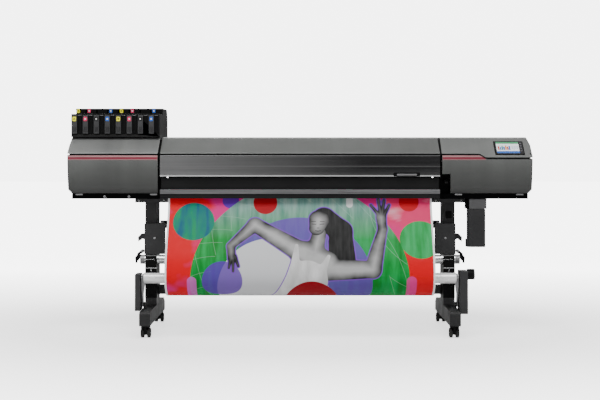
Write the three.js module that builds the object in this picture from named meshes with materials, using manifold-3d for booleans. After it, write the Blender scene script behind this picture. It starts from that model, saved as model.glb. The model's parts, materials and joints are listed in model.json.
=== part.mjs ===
// A wide-format roll-fed printer and cutter on a castored stand.
// Millimetres, +X to the operator's right, -Y towards the operator, +Z up.
// The origin is on the floor under the middle of the machine.
import * as THREE from "three";
import { mergeVertices } from "three/addons/utils/BufferGeometryUtils.js";
import Module from "manifold-3d";

const wasm = await Module();
wasm.setup();

// ---- Driving dimensions ----
const GAP = 0.3; // between pieces that touch
const SEAM = 7; // shadow line between covers

const MEDIA_WIDTH = 1600;
const MEDIA_THICKNESS = 1.6;
const PLATEN_MARGIN = 30; // the platen beyond the web at each side
const COVER_MARGIN = 16; // the centre covers beyond the platen at each side
const END_WIDTH = 547; // each end cover
const BODY_FRONT = -230; // front face of the housing
const BODY_REAR = 250;
const BODY_BOTTOM = 824; // underside of the housing above the floor
const BODY_HEIGHT = 376;
const SPLIT_HEIGHT = 267; // from the underside to where the lower covers meet the top covers
const TRAY_HEIGHT = 33; // black tray under the end covers
const FRAME_WALL = 6;
const COVER_WALL = 5;
const TOP_SLOPE = 132; // how far the top covers lean back
const SHOULDER = 16; // the right cover's upper outer corner, in from the side
const SHOULDER_DROP = 50; // and down from the top
const LEFT_SHOULDER = 4; // the left corner is squarer, under the ink tower
const TOP_EDGE = 10; // break at the top of the lean
const FACE_BULGE = 9; // crown of the front faces
const BOTTOM_CHAMFER = 24;
const SIDE_BREAK = 4;
const STEP_DOWN = 23; // the right split line drops by this below the control panel
const STEP_LENGTH = 57;
const STEP_FROM_END = 272; // from the right end to where that drop ends

const PLATEN_HEIGHT = 71; // from the underside to the platen's top
const PLATEN_FRONT = -165;
const PLATEN_REAR = 10;
const PLATEN_THICKNESS = 26;
const BEAM_Y = [-95, 190];
const GRIT_RADIUS = 12;
const GRIT_Y = 30;
const JOURNAL_RADIUS = 5;
const APRON_FRONT = 50;
const APRON_REAR = 200;
const PINCH_COUNT = 9;
const PINCH_RADIUS = 11;
const PINCH_LIFT = 1.6; // clearance above the web at rest

const RAIL_INSET = 72; // from the housing's end to the rail's end
const RAIL_Y = [62, 118];
const RAIL_HEIGHT = [105, 165]; // above the platen
const RAIL_WALL = 5;
const PULLEY_RADIUS = 10;
const PULLEY_INSET = 45; // from the rail's end to a pulley's axis
const BELT_THICKNESS = 2;
const BELT_WIDTH = 9;
const BELT_Y = 48;
const BELT_ABOVE_RAIL = 16;
const PARK_GAP = 90; // from the centre opening to the parked print carriage
const PRINT_CARRIAGE = 300;
const CUTTER_CARRIAGE = 100;
const CARRIAGE_FRONT = -135;

const WINDOW_THICKNESS = 4;
const WINDOW_ABOVE_PLATEN = 65;
const HINGE_RADIUS = 4;

const TOWER_FRONT = -128;
const TOWER_REAR = 290;
const TOWER_STEP_Y = 2; // front of the rear row
const TOWER_HEIGHT = [142, 181]; // front and rear row above the housing
const TOWER_FLOOR = 16;
const TOWER_WALL = 4;
const CARTRIDGES = 8;
const CARTRIDGE_WIDTH = 58;
const CARTRIDGE_RIB = 9.3; // between two cartridges
const CARTRIDGE_CLEARANCE = 1.5;
const CARTRIDGE_HEIGHT = 119;
const CARTRIDGE_DEPTH = 118;
const GRIP_WIDTH = 32;
const GRIP_DEPTH = 9;

const LEG_OUTSET = 74; // from the centre covers' end to each leg's centre plane
const POST_WIDTH = 70;
const POST_DEPTH = 160;
const POST_WALL = 4;
const HEAD_THICKNESS = 22;
const HEAD_X = [-110, 88]; // from the leg's centre plane
const SHIELD_HEIGHT = 187;
const SHIELD_DEPTH = 40;
const SHIELD_CLEARANCE = 3; // above the take-up shaft
const FOOT_LENGTH = 760;
const FOOT_WIDTH = 65;
const FOOT_HEIGHT = 86;
const STRETCHER_Y = [30, 75];
const STRETCHER_Z = [56, 114]; // above the feet
const CASTOR_Y = 330;
const CASTOR_RADIUS = 30;
const CASTOR_TRAIL = 16;
const CASTOR_PLATE = 16; // from the wheels' top to the foot
const TREAD_WIDTH = 20;
const TREAD_GAP = 18;
const AXLE_RADIUS = 4;

const TAKEUP_Y = -125;
const TAKEUP_Z = 450;
const TAKEUP_RADIUS = 28;
const TAKEUP_ROLL_RADIUS = 44;
const TAKEUP_OVERHANG = 58; // past the leg's centre plane
const TUBE_WALL = 3;
const CRADLE_CLEARANCE = 1.5;
const LATCH_THICKNESS = 24;
const DANCER_Y = -250;
const DANCER_Z = 348;
const DANCER_RADIUS = 32;
const PIVOT_Y = -220;
const PIVOT_HEIGHT = 23; // above the feet
const ARM_CLEARANCE = 2;
const ARM_OUTSET = 26; // from the leg's centre plane to the tension arms
const ARM_THICKNESS = 8;
const BOX_Y = [-300, -190];
const SENSOR_BOX = [31, 156, 375]; // width, bottom, top
const DRIVE_BOX = [48, 138, 393];
const MOTOR_LENGTH = 44;
const MOTOR_RADIUS = 32;
const MOTOR_Y = -250;
const MOTOR_Z = 372;
const SUPPLY_Z = 640;
const SUPPLY_RADIUS = 82;
const FLANGE_RIM = 22; // the supply flanges stand this far above the roll
const FLANGE_THICKNESS = 14;
const HALF_DEPTH = 402; // from the origin to the web's bulge and to the supply flanges' rim
const SUPPLY_SHAFT_RADIUS = 25;

const BOTTLE_GAP = 20; // from the right leg's head
const BOTTLE_X = 102;
const BOTTLE_Y = [-200, -90];
const BOTTLE_Z = 530;
const BOTTLE_MOUNT = 60; // the bottle's holder below the housing

// ---- Derived places ----
const platenHalf = MEDIA_WIDTH / 2 + PLATEN_MARGIN;
const centreHalf = platenHalf + COVER_MARGIN;
const endInner = centreHalf + 2 * SEAM;
const half = endInner + END_WIDTH;
const bodyTop = BODY_BOTTOM + BODY_HEIGHT;
const splitZ = BODY_BOTTOM + SPLIT_HEIGHT;
const trayTop = BODY_BOTTOM + TRAY_HEIGHT;
const platenTop = BODY_BOTTOM + PLATEN_HEIGHT;
const stepEnd = half - STEP_FROM_END;
const railHalf = half - RAIL_INSET;
const railZ = RAIL_HEIGHT.map((h) => platenTop + h);
const pulleyX = railHalf - PULLEY_INSET;
const beltZ = railZ[1] + BELT_ABOVE_RAIL;
const pinchZ = platenTop + MEDIA_THICKNESS + PINCH_LIFT + PINCH_RADIUS;
const parkX = [endInner + PARK_GAP, endInner + PARK_GAP + PRINT_CARRIAGE];
const towerStepZ = bodyTop + TOWER_HEIGHT[0];
const towerTop = bodyTop + TOWER_HEIGHT[1];
const cartridgePitch = CARTRIDGE_WIDTH + CARTRIDGE_RIB;
const towerX = [-half + 4, -half + 4 + CARTRIDGES * cartridgePitch + TOWER_WALL + CARTRIDGE_CLEARANCE];
const firstCartridge = towerX[0] + TOWER_WALL + CARTRIDGE_CLEARANCE;
const bayZ = bodyTop + GAP + TOWER_FLOOR;
const legX = centreHalf + LEG_OUTSET;
const footZ = [2 * CASTOR_RADIUS + CASTOR_PLATE, 2 * CASTOR_RADIUS + CASTOR_PLATE + FOOT_HEIGHT];
const headX = HEAD_X.map((x) => legX + x);
const takeupHalf = legX + TAKEUP_OVERHANG;
const shieldZ = TAKEUP_Z + TAKEUP_RADIUS + SHIELD_CLEARANCE;
const pivotZ = footZ[1] + PIVOT_HEIGHT;
const armX = [legX + ARM_OUTSET, legX + ARM_OUTSET + ARM_THICKNESS];
const supplyY = HALF_DEPTH - SUPPLY_RADIUS - FLANGE_RIM;
const bottleX = [headX[1] + BOTTLE_GAP, headX[1] + BOTTLE_GAP + BOTTLE_X];

// ---- Finishes ----
const finish = (color, roughness, metalness = 0) =>
  new THREE.MeshStandardMaterial({ color, roughness, metalness });
const FINISH = {
  cover: finish(0x6d6f6b, 0.42, 0.2),
  black: finish(0x141415, 0.5),
  window: finish(0x2a2a2d, 0.15),
  steel: finish(0x3b3b3c, 0.45, 0.3),
  alloy: finish(0xc4c6c8, 0.3, 0.9),
  bar: finish(0x7d7d80, 0.35, 0.7),
  rubber: finish(0x101010, 0.8),
  media: finish(0xe8e6ea, 0.4),
  bottle: finish(0x39393a, 0.5),
};

// ---- Solids ----
function solid(geometry) {
  const bare = geometry.index ? geometry.toNonIndexed() : geometry.clone();
  bare.deleteAttribute("normal");
  bare.deleteAttribute("uv");
  const merged = mergeVertices(bare, 1e-3);
  return new wasm.Manifold(
    new wasm.Mesh({
      numProp: 3,
      vertProperties: merged.attributes.position.array,
      triVerts: new Uint32Array(merged.index.array),
    }),
  );
}

function geometryOf(made) {
  const { vertProperties, triVerts } = made.getMesh();
  const geometry = new THREE.BufferGeometry();
  geometry.setAttribute("position", new THREE.BufferAttribute(vertProperties, 3));
  geometry.setIndex(new THREE.BufferAttribute(triVerts, 1));
  return geometry;
}

const shapeOf = (points) => new THREE.Shape(points.map(([u, v]) => new THREE.Vector2(u, v)));

// An outline in one plane, carried along the third axis from one value to another.
function slab(points, from, to, matrix) {
  const geometry = new THREE.ExtrudeGeometry(shapeOf(points), { depth: to - from, bevelEnabled: false });
  geometry.translate(0, 0, from);
  geometry.applyMatrix4(matrix);
  return solid(geometry);
}
const ALONG_X = new THREE.Matrix4().set(0, 0, 1, 0, 1, 0, 0, 0, 0, 1, 0, 0, 0, 0, 0, 1);
const ALONG_Y = new THREE.Matrix4().set(0, 1, 0, 0, 0, 0, 1, 0, 1, 0, 0, 0, 0, 0, 0, 1);
const slabX = (points, x0, x1) => slab(points, x0, x1, ALONG_X);
const slabY = (points, y0, y1) => slab(points.map(([x, z]) => [z, x]), y0, y1, ALONG_Y);

function block([x0, x1], [y0, y1], [z0, z1]) {
  const geometry = new THREE.BoxGeometry(x1 - x0, y1 - y0, z1 - z0);
  geometry.translate((x0 + x1) / 2, (y0 + y1) / 2, (z0 + z1) / 2);
  return solid(geometry);
}

// A rectangular tube along X, open at both ends.
function boxTube([x0, x1], [y0, y1], [z0, z1], wall) {
  const bore = block([x0 - 1, x1 + 1], [y0 + wall, y1 - wall], [z0 + wall, z1 - wall]);
  return block([x0, x1], [y0, y1], [z0, z1]).subtract(bore);
}

// A stepped turned solid on the X axis at (y, z): steps are [x0, x1, radius].
function turnedX(steps, y, z, sides = 24) {
  const points = [new THREE.Vector2(0, steps[0][0])];
  for (const [x0, x1, radius] of steps) {
    points.push(new THREE.Vector2(radius, x0), new THREE.Vector2(radius, x1));
  }
  points.push(new THREE.Vector2(0, steps.at(-1)[1]));
  const geometry = new THREE.LatheGeometry(points, sides);
  geometry.rotateZ(-Math.PI / 2);
  geometry.translate(0, y, z);
  return solid(geometry);
}

function turnedZ(radius, z0, z1, x = 0, y = 0, sides = 20) {
  const geometry = new THREE.CylinderGeometry(radius, radius, z1 - z0, sides);
  geometry.rotateX(Math.PI / 2);
  geometry.translate(x, y, (z0 + z1) / 2);
  return solid(geometry);
}

const model = new THREE.Group();
function part(name, made, material, parent = model) {
  const mesh = new THREE.Mesh(geometryOf(made), material);
  mesh.name = name;
  parent.add(mesh);
  return mesh;
}

function group(parent = model) {
  const made = new THREE.Group();
  parent.add(made);
  return made;
}

// ---- Housing ----
// The same span on the left (side -1) or the right (side 1), lowest value first.
const mirrored = (side, from, to) => [side * from, side * to].sort((a, b) => a - b);

// Lower front face, crowned, with a chamfer at the bottom.
function lowerProfile(top) {
  const curve = new THREE.QuadraticBezierCurve(
    new THREE.Vector2(BODY_FRONT, top),
    new THREE.Vector2(BODY_FRONT - FACE_BULGE, (top + trayTop) / 2),
    new THREE.Vector2(BODY_FRONT + 6, trayTop + BOTTOM_CHAMFER),
  );
  return [
    ...curve.getPoints(8).map((p) => [p.x, p.y]),
    [BODY_FRONT + BOTTOM_CHAMFER, trayTop],
    [BODY_REAR, trayTop],
    [BODY_REAR, top],
  ];
}

// Leaning front and flat top; inset shrinks it all round.
function topProfile(inset, bottom) {
  return [
    [BODY_FRONT - 2 + inset, bottom],
    [BODY_REAR - inset, bottom],
    [BODY_REAR - inset, bodyTop - inset],
    [BODY_FRONT + TOP_SLOPE + TOP_EDGE, bodyTop - inset],
    [BODY_FRONT + TOP_SLOPE - TOP_EDGE + inset, bodyTop - TOP_EDGE - inset],
    [BODY_FRONT - 2 + inset, bottom + 4],
  ];
}

// The split line of the right-hand covers as [x, z], dropping under the control panel.
function splitLine(offset) {
  const high = splitZ + offset;
  const low = high - STEP_DOWN;
  const middle = stepEnd - STEP_LENGTH / 2;
  const drop = new THREE.CubicBezierCurve(
    new THREE.Vector2(stepEnd - STEP_LENGTH, high),
    new THREE.Vector2(middle, high),
    new THREE.Vector2(middle, low),
    new THREE.Vector2(stepEnd, low),
  );
  return drop.getPoints(8).map((p) => [p.x, p.y]);
}

function endCover(isRight) {
  const top = splitZ - GAP;
  const outer = slabX(lowerProfile(top), endInner, half);
  const line = isRight
    ? [[endInner - 1, top], ...splitLine(-GAP), [half + 1, top - STEP_DOWN]]
    : [[endInner - 1, top], [half + 1, top]];
  const silhouette = slabY(
    [
      ...line,
      [half, top - 40],
      [half - SIDE_BREAK, trayTop + BOTTOM_CHAMFER],
      [half - BOTTOM_CHAMFER, trayTop],
      [endInner - 1, trayTop],
    ],
    BODY_FRONT - 2 * FACE_BULGE,
    BODY_REAR + 1,
  );
  const inside = block(
    [endInner - 1, half - SIDE_BREAK - COVER_WALL],
    [BODY_FRONT + 6 + COVER_WALL, BODY_REAR - COVER_WALL],
    [trayTop + BOTTOM_CHAMFER, bodyTop],
  );
  const mouth = block(
    [endInner - 1, half - BOTTOM_CHAMFER - COVER_WALL],
    [BODY_FRONT + BOTTOM_CHAMFER + COVER_WALL, BODY_REAR - COVER_WALL],
    [trayTop - 1, bodyTop],
  );
  return outer.intersect(silhouette).subtract(inside).subtract(mouth);
}

function endTopCover(isRight) {
  const bottom = splitZ + SEAM;
  const lowest = isRight ? bottom - STEP_DOWN : bottom;
  const shoulder = isRight ? SHOULDER : LEFT_SHOULDER;
  const outer = slabX(topProfile(0, lowest), endInner, half);
  const line = isRight
    ? [[endInner - 1, bottom], ...splitLine(SEAM), [half + 1, lowest]]
    : [[endInner - 1, bottom], [half + 1, bottom]];
  const silhouette = slabY(
    [
      ...line,
      [half, bodyTop - SHOULDER_DROP],
      [half - shoulder, bodyTop + 1],
      [endInner - 1, bodyTop + 1],
    ],
    BODY_FRONT - FACE_BULGE,
    BODY_REAR + 1,
  );
  const inside = slabX(topProfile(COVER_WALL, lowest - 1), endInner - 1, half - SHOULDER - COVER_WALL);
  return outer.intersect(silhouette).subtract(inside);
}

// The welded frame: a beam under the platen, a pan and a cheek at each end, and the rail's brackets.
function baseFrame() {
  const beamTop = platenTop - PLATEN_THICKNESS - GAP;
  const beam = block([-centreHalf - 4, centreHalf + 4], BEAM_Y, [BODY_BOTTOM, beamTop]);
  const channel = block(
    [-centreHalf + FRAME_WALL, centreHalf - FRAME_WALL],
    [BEAM_Y[0] + FRAME_WALL, BEAM_Y[1] - FRAME_WALL],
    [BODY_BOTTOM - 1, beamTop - FRAME_WALL],
  );
  const panY = [BODY_FRONT + BOTTOM_CHAMFER, BODY_REAR - 10];
  const pans = [-1, 1].map((side) => {
    const outer = mirrored(side, half - BOTTOM_CHAMFER, endInner - SEAM);
    const inner = mirrored(side, half - BOTTOM_CHAMFER - FRAME_WALL, endInner - SEAM + FRAME_WALL);
    const pan = block(outer, panY, [BODY_BOTTOM, trayTop - GAP]);
    const hollowY = [panY[0] + FRAME_WALL, panY[1] - FRAME_WALL];
    return pan.subtract(block(inner, hollowY, [BODY_BOTTOM + FRAME_WALL, trayTop + 1]));
  });
  const cheeks = [-1, 1].map((side) => {
    const x = mirrored(side, centreHalf + 3, endInner - 3);
    const front = block(x, [BODY_FRONT + 4, PLATEN_FRONT + 2], [BODY_BOTTOM, splitZ - 6]);
    return front.add(block(x, [BODY_FRONT + 4, BODY_REAR - 10], [BODY_BOTTOM, trayTop + 20]));
  });
  const brackets = [-1, 1].map((side) => {
    const x = mirrored(side, railHalf + GAP, railHalf + 12);
    return block(x, [RAIL_Y[0] - 6, RAIL_Y[1] + 6], [BODY_BOTTOM, splitZ - 2]);
  });
  const holderZ = [BODY_BOTTOM - BOTTLE_MOUNT, BODY_BOTTOM + 1];
  const holder = block(bottleX, BOTTLE_Y, holderZ);
  const tab = block([headX[1] + 2, bottleX[0] + 1], [BOTTLE_Y[0] + 10, BOTTLE_Y[0] + 80], holderZ);
  const body = beam.subtract(channel);
  return [...pans, ...cheeks, ...brackets, holder, tab].reduce((all, s) => all.add(s), body);
}

const PANEL_SIZE = [180, 124, 16];
const PANEL_FROM_END = 134; // from the right end to the panel's middle
const PANEL_UP = 78; // from the leaning face's foot to the panel's middle, along the face
const PANEL_PROUD = 4;
// A slab in the control panel's frame: its middle on the leaning face, its local Z out of that face.
function controlPanel(clearance) {
  const footZ = splitZ + SEAM - STEP_DOWN + 4;
  const lean = Math.atan2(bodyTop - TOP_EDGE - footZ, TOP_SLOPE - TOP_EDGE);
  const [width, length, thickness] = PANEL_SIZE.map((s) => s + 2 * clearance);
  const geometry = new THREE.BoxGeometry(width, length, thickness);
  geometry.translate(0, 0, PANEL_PROUD - PANEL_SIZE[2] / 2);
  geometry.rotateX(lean);
  geometry.translate(
    half - PANEL_FROM_END,
    BODY_FRONT - 2 + PANEL_UP * Math.cos(lean),
    footZ + PANEL_UP * Math.sin(lean),
  );
  return solid(geometry);
}

// The open corner of the right end cover where the loading lever stands out.
function leverNotch() {
  return block(
    [endInner - 1, endInner + 50],
    [BODY_FRONT - 20, BODY_FRONT + 70],
    [trayTop - 1, platenTop + 80],
  );
}

function housing() {
  part("base_frame", baseFrame(), FINISH.black);
  const left = group();
  left.scale.x = -1;
  part("left_end_cover", endCover(false), FINISH.cover, left);
  part("left_top_cover", endTopCover(false), FINISH.cover, left);
  part("right_end_cover", endCover(true).subtract(leverNotch()), FINISH.cover);
  part("right_top_cover", endTopCover(true).subtract(controlPanel(GAP)), FINISH.cover);
  part("control_panel", controlPanel(0), FINISH.black);
  const bottom = splitZ + SEAM;
  const centreX = [-centreHalf, centreHalf];
  const bonnet = slabX(topProfile(0, bottom), ...centreX);
  const under = slabX(topProfile(COVER_WALL, bottom - 1), -centreHalf - 1, centreHalf + 1);
  part("centre_top_cover", bonnet.subtract(under), FINISH.cover);
  const rearZ = [platenTop + 55, bottom - GAP];
  part("rear_cover", block(centreX, [BODY_REAR - 4, BODY_REAR], rearZ), FINISH.steel);
  const dryerTop = BODY_BOTTOM + 31;
  const barZ = [dryerTop + GAP, platenTop - 14];
  part("front_bar", block(centreX, [BODY_FRONT - 6, BODY_FRONT + 10], barZ), FINISH.bar);
  const dryerZ = [BODY_BOTTOM + 4, dryerTop];
  part("front_dryer", block(centreX, [BODY_FRONT - 2, BODY_FRONT + 14], dryerZ), FINISH.black);
}

// ---- Print and cut mechanism ----
function carriage(x, bottom) {
  const reach = RAIL_Y[0] - GAP - 1.7;
  const top = beltZ - PULLEY_RADIUS - BELT_THICKNESS - 2;
  const shelf = railZ[0] - 15;
  const outline = [
    [CARRIAGE_FRONT + 12, bottom],
    [8, bottom],
    [8, shelf],
    [reach, shelf],
    [reach, top],
    [CARRIAGE_FRONT + 30, top],
    [CARRIAGE_FRONT, top - 32],
    [CARRIAGE_FRONT, bottom + 12],
  ];
  return slabX(outline, ...x);
}

// Pinch rollers on arms along one bar; the bar turns about its own middle to lift them.
function pinchBar() {
  const barZ = [platenTop + 35, platenTop + 51];
  const bar = block([-platenHalf, platenHalf], [76, 92], barZ);
  const pitch = (MEDIA_WIDTH - 120) / (PINCH_COUNT - 1);
  const arms = Array.from({ length: PINCH_COUNT }, (_, i) => {
    const x = (i - (PINCH_COUNT - 1) / 2) * pitch;
    const outline = [
      [22, pinchZ - 4],
      [38, pinchZ - 4],
      [84, barZ[0] + 2],
      [84, barZ[1] - 2],
      [30, pinchZ + 12],
      [20, pinchZ + 6],
    ];
    return slabX(outline, x - 6, x + 6).add(turnedX([[x - 16, x + 16, PINCH_RADIUS]], GRIT_Y, pinchZ, 16));
  });
  return arms.reduce((all, s) => all.add(s), bar);
}

function belt() {
  const halfCircle = (x, radius, from) =>
    Array.from({ length: 9 }, (_, i) => {
      const angle = from + (Math.PI * i) / 8;
      return [x + radius * Math.cos(angle), beltZ + radius * Math.sin(angle)];
    });
  const loop = (radius) => [
    ...halfCircle(pulleyX, radius, -Math.PI / 2),
    ...halfCircle(-pulleyX, radius, Math.PI / 2),
  ];
  const y = [BELT_Y - BELT_WIDTH / 2, BELT_Y + BELT_WIDTH / 2];
  const inner = PULLEY_RADIUS + 0.6;
  return slabY(loop(inner + BELT_THICKNESS), ...y).subtract(slabY(loop(inner), y[0] - 1, y[1] + 1));
}

function pulley() {
  const rim = new THREE.CylinderGeometry(PULLEY_RADIUS, PULLEY_RADIUS, BELT_WIDTH, 16);
  rim.translate(0, BELT_Y, 0);
  const hub = new THREE.CylinderGeometry(3, 3, BELT_WIDTH + 3, 10);
  hub.translate(0, BELT_Y, 0);
  return solid(rim).add(solid(hub));
}

// A channel of FRAME_WALL walls, open underneath, in a bar under the web.
function hollowed(bar, x, y, bottom) {
  const inner = [x[0] + FRAME_WALL, x[1] - FRAME_WALL];
  const span = [y[0] + FRAME_WALL, y[1] - FRAME_WALL];
  return bar.subtract(block(inner, span, [bottom - 1, platenTop - FRAME_WALL - 4]));
}

function platenAndApron() {
  const x = [-platenHalf, platenHalf];
  const bottom = platenTop - PLATEN_THICKNESS;
  const platen = [
    [PLATEN_FRONT + 14, bottom],
    [PLATEN_REAR, bottom],
    [PLATEN_REAR, platenTop],
    [PLATEN_FRONT + 16, platenTop],
    [PLATEN_FRONT, platenTop - 9],
    [PLATEN_FRONT, bottom + 6],
  ];
  part("platen", hollowed(slabX(platen, ...x), x, [PLATEN_FRONT + 14, PLATEN_REAR], bottom), FINISH.bar);
  const apron = [
    [APRON_FRONT, bottom],
    [APRON_REAR - 6, bottom],
    [APRON_REAR - 2, platenTop - 14],
    [APRON_REAR - 12, platenTop - 4],
    [APRON_REAR - 26, platenTop],
    [APRON_FRONT, platenTop],
  ];
  part("rear_apron", hollowed(slabX(apron, ...x), x, [APRON_FRONT, APRON_REAR - 6], bottom), FINISH.steel);
}

function mechanism() {
  platenAndApron();
  const journal = platenHalf + 6;
  const grit = turnedX(
    [
      [-journal, -journal + 20, JOURNAL_RADIUS],
      [-journal + 20, journal - 20, GRIT_RADIUS],
      [journal - 20, journal, JOURNAL_RADIUS],
    ],
    GRIT_Y,
    platenTop - GRIT_RADIUS,
  );
  part("grit_roller", grit, FINISH.alloy);
  part("pinch_roller_bar", pinchBar(), FINISH.steel);
  part("guide_rail", boxTube([-railHalf, railHalf], RAIL_Y, railZ, RAIL_WALL), FINISH.alloy);
  part("carriage_belt", belt(), FINISH.rubber);
  for (const [name, x] of [["drive_pulley", pulleyX], ["idler_pulley", -pulleyX]]) {
    part(name, pulley(), FINISH.alloy).position.set(x, 0, beltZ);
  }
  part("print_carriage", carriage(parkX, platenTop + 11), FINISH.black);
  const cutterX = [-endInner - 2 * CUTTER_CARRIAGE - 20, -endInner - CUTTER_CARRIAGE - 20];
  part("cutter_carriage", carriage(cutterX, platenTop + 15), FINISH.black);
  const bladeX = (cutterX[0] + cutterX[1]) / 2;
  const bladeY = [CARRIAGE_FRONT - 17, CARRIAGE_FRONT - 2 - GAP];
  const holder = block([bladeX - 16, bladeX + 16], bladeY, [platenTop + 17, platenTop + 95]);
  const tip = turnedZ(6, platenTop + 9, platenTop + 18, bladeX, (bladeY[0] + bladeY[1]) / 2, 12);
  part("blade_holder", holder.add(tip), FINISH.alloy);
  const stationX = [parkX[0] + 20, parkX[1] - 20];
  part("capping_station", block(stationX, [-120, 6], [trayTop + GAP, platenTop + 5]), FINISH.steel);
  const lever = [
    [-178, platenTop + 31],
    [-150, platenTop + 31],
    [-150, platenTop + 51],
    [-178, platenTop + 51],
    [-236, platenTop + 37],
    [-246, platenTop + 29],
    [-240, platenTop + 21],
    [-228, platenTop + 23],
  ];
  part("loading_lever", slabX(lever, endInner + 14, endInner + 34), FINISH.black);
}

// ---- Front window ----
function frontWindow() {
  const y = BODY_FRONT - 2;
  const bottom = platenTop + WINDOW_ABOVE_PLATEN;
  const outer = [
    [y, splitZ - 8],
    [y - 8, (splitZ + bottom) / 2 - 1.5],
    [y - 2, bottom + 8],
    [y - 6, bottom],
  ];
  const inner = outer.map(([u, v]) => [u + WINDOW_THICKNESS, v]).reverse();
  const sheet = slabX([...outer, ...inner], -centreHalf, centreHalf);
  const barrel = turnedX([[-centreHalf, centreHalf, HINGE_RADIUS]], y + HINGE_RADIUS / 2, splitZ - 6, 12);
  part("front_window", sheet.add(barrel), FINISH.window);
}

// ---- Ink tower ----
function towerHousing() {
  const outline = [
    [TOWER_FRONT, bodyTop + GAP],
    [TOWER_REAR, bodyTop + GAP],
    [TOWER_REAR, towerStepZ - 20],
    [TOWER_REAR - 40, towerTop],
    [TOWER_STEP_Y + 30, towerTop],
    [TOWER_STEP_Y + 30, towerStepZ],
    [TOWER_FRONT, towerStepZ],
  ];
  const bayRear = TOWER_FRONT + CARTRIDGE_DEPTH + CARTRIDGE_CLEARANCE;
  const bays = Array.from({ length: CARTRIDGES }, (_, i) => {
    const x = firstCartridge + i * cartridgePitch;
    return block(
      [x - CARTRIDGE_CLEARANCE, x + CARTRIDGE_WIDTH + CARTRIDGE_CLEARANCE],
      [TOWER_FRONT - 1, bayRear],
      [bayZ, bayZ + CARTRIDGE_HEIGHT + 2 * CARTRIDGE_CLEARANCE],
    );
  });
  const hollow = block(
    [towerX[0] + TOWER_WALL, towerX[1] - TOWER_WALL],
    [bayRear + TOWER_WALL, TOWER_REAR - TOWER_WALL],
    [bodyTop, towerStepZ - 24],
  );
  return [...bays, hollow].reduce((all, s) => all.subtract(s), slabX(outline, ...towerX));
}

function inkTower() {
  part("ink_tower", towerHousing(), FINISH.black);
  const rowFloor = towerStepZ + GAP;
  const strip = [TOWER_STEP_Y + 14, TOWER_STEP_Y + 30 - GAP];
  const rail = block([towerX[0] + 3, towerX[1] - 6], strip, [rowFloor, towerTop - 6]);
  const necks = Array.from({ length: CARTRIDGES }, (_, i) => {
    const x = firstCartridge + i * cartridgePitch;
    return block([x, x + CARTRIDGE_WIDTH], [TOWER_STEP_Y, TOWER_STEP_Y + 16], [rowFloor, towerTop - 2]);
  });
  part("rear_cartridge_row", necks.reduce((all, s) => all.add(s), rail), FINISH.black);
  const colours = ["yellow", "magenta", "black", "cyan"];
  for (let i = 0; i < CARTRIDGES; i++) {
    const shell = block([0, CARTRIDGE_WIDTH], [0, CARTRIDGE_DEPTH], [0, CARTRIDGE_HEIGHT]);
    const grip = block([0, GRIP_WIDTH], [-GRIP_DEPTH, 0], [3, CARTRIDGE_HEIGHT - 2]);
    const name = "cartridge_" + (i + 1) + "_" + colours[i % colours.length];
    const cartridge = part(name, shell.add(grip), FINISH.black);
    cartridge.position.set(firstCartridge + i * cartridgePitch, TOWER_FRONT, bayZ + CARTRIDGE_CLEARANCE);
  }
}

// ---- Stand ----
// A hollow post open at the back, with its head plate, front shield, upper hook and supply arm.
function leg() {
  const x = [legX - POST_WIDTH / 2, legX + POST_WIDTH / 2];
  const y = [-POST_DEPTH / 2, POST_DEPTH / 2];
  const headZ = [BODY_BOTTOM - HEAD_THICKNESS, BODY_BOTTOM - GAP];
  const z = [footZ[1] + GAP, headZ[0] + 2];
  const hollow = block(
    [x[0] + POST_WALL, x[1] - POST_WALL],
    [y[0] + POST_WALL, y[1] + 1],
    [z[0] - 1, z[1] - 2],
  );
  const head = block(headX, [-150, 150], [headZ[0] - 2, headZ[1]]);
  const shieldFront = y[0] - SHIELD_DEPTH;
  const shieldBore = block(
    [x[0] - 55 + POST_WALL, x[1] - POST_WALL],
    [shieldFront + POST_WALL, y[0]],
    [shieldZ - 1, shieldZ + SHIELD_HEIGHT - POST_WALL],
  );
  const shieldBlock = block([x[0] - 55, x[1]], [shieldFront, y[0] + 1], [shieldZ, shieldZ + SHIELD_HEIGHT]);
  const shield = shieldBlock.subtract(shieldBore);
  const hook = slabY(
    [
      [x[1] - 1, shieldZ + 131],
      [x[1] + 20, shieldZ + 115],
      [x[1] + 32, shieldZ + 105],
      [x[1] + 32, shieldZ + 81],
      [x[1] + 22, shieldZ + 93],
      [x[1] - 1, shieldZ + 103],
    ],
    -70,
    -30,
  );
  return block(x, y, z).subtract(hollow).add(head).add(shield).add(hook).add(supplyArm());
}

// A plate behind each post, slotted from above for the supply roll's shaft.
function supplyArm() {
  const x = [legX - 41, legX - 23];
  const bore = SUPPLY_SHAFT_RADIUS + CRADLE_CLEARANCE;
  const seat = turnedX([[x[0] - 1, x[1] + 1, bore]], supplyY, SUPPLY_Z);
  const mouth = block([x[0] - 1, x[1] + 1], [supplyY - bore, supplyY + bore], [SUPPLY_Z, SUPPLY_Z + 60]);
  const y = [POST_DEPTH / 2 - POST_WALL, supplyY + bore + 15];
  const plate = block(x, y, [SUPPLY_Z - bore - 23, SUPPLY_Z + 18]);
  return plate.subtract(seat).subtract(mouth);
}

function foot() {
  const x = [legX - FOOT_WIDTH / 2, legX + FOOT_WIDTH / 2];
  const end = FOOT_LENGTH / 2;
  const [bottom, top] = footZ;
  const outline = [
    [-end, bottom],
    [end, bottom],
    [end, top - 30],
    [end - 50, top],
    [-end + 14, top],
    [-end, top - 14],
  ];
  const hollowX = [x[0] + POST_WALL, x[1] - POST_WALL];
  const hollow = block(hollowX, [-CASTOR_Y + 34, CASTOR_Y - 34], [bottom - 1, top - POST_WALL]);
  const lug = block([armX[0] - 14, armX[0] - 0.5], [PIVOT_Y - 15, PIVOT_Y + 15], [top - 1, pivotZ + 15]);
  return slabX(outline, ...x).subtract(hollow).add(lug);
}

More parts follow.
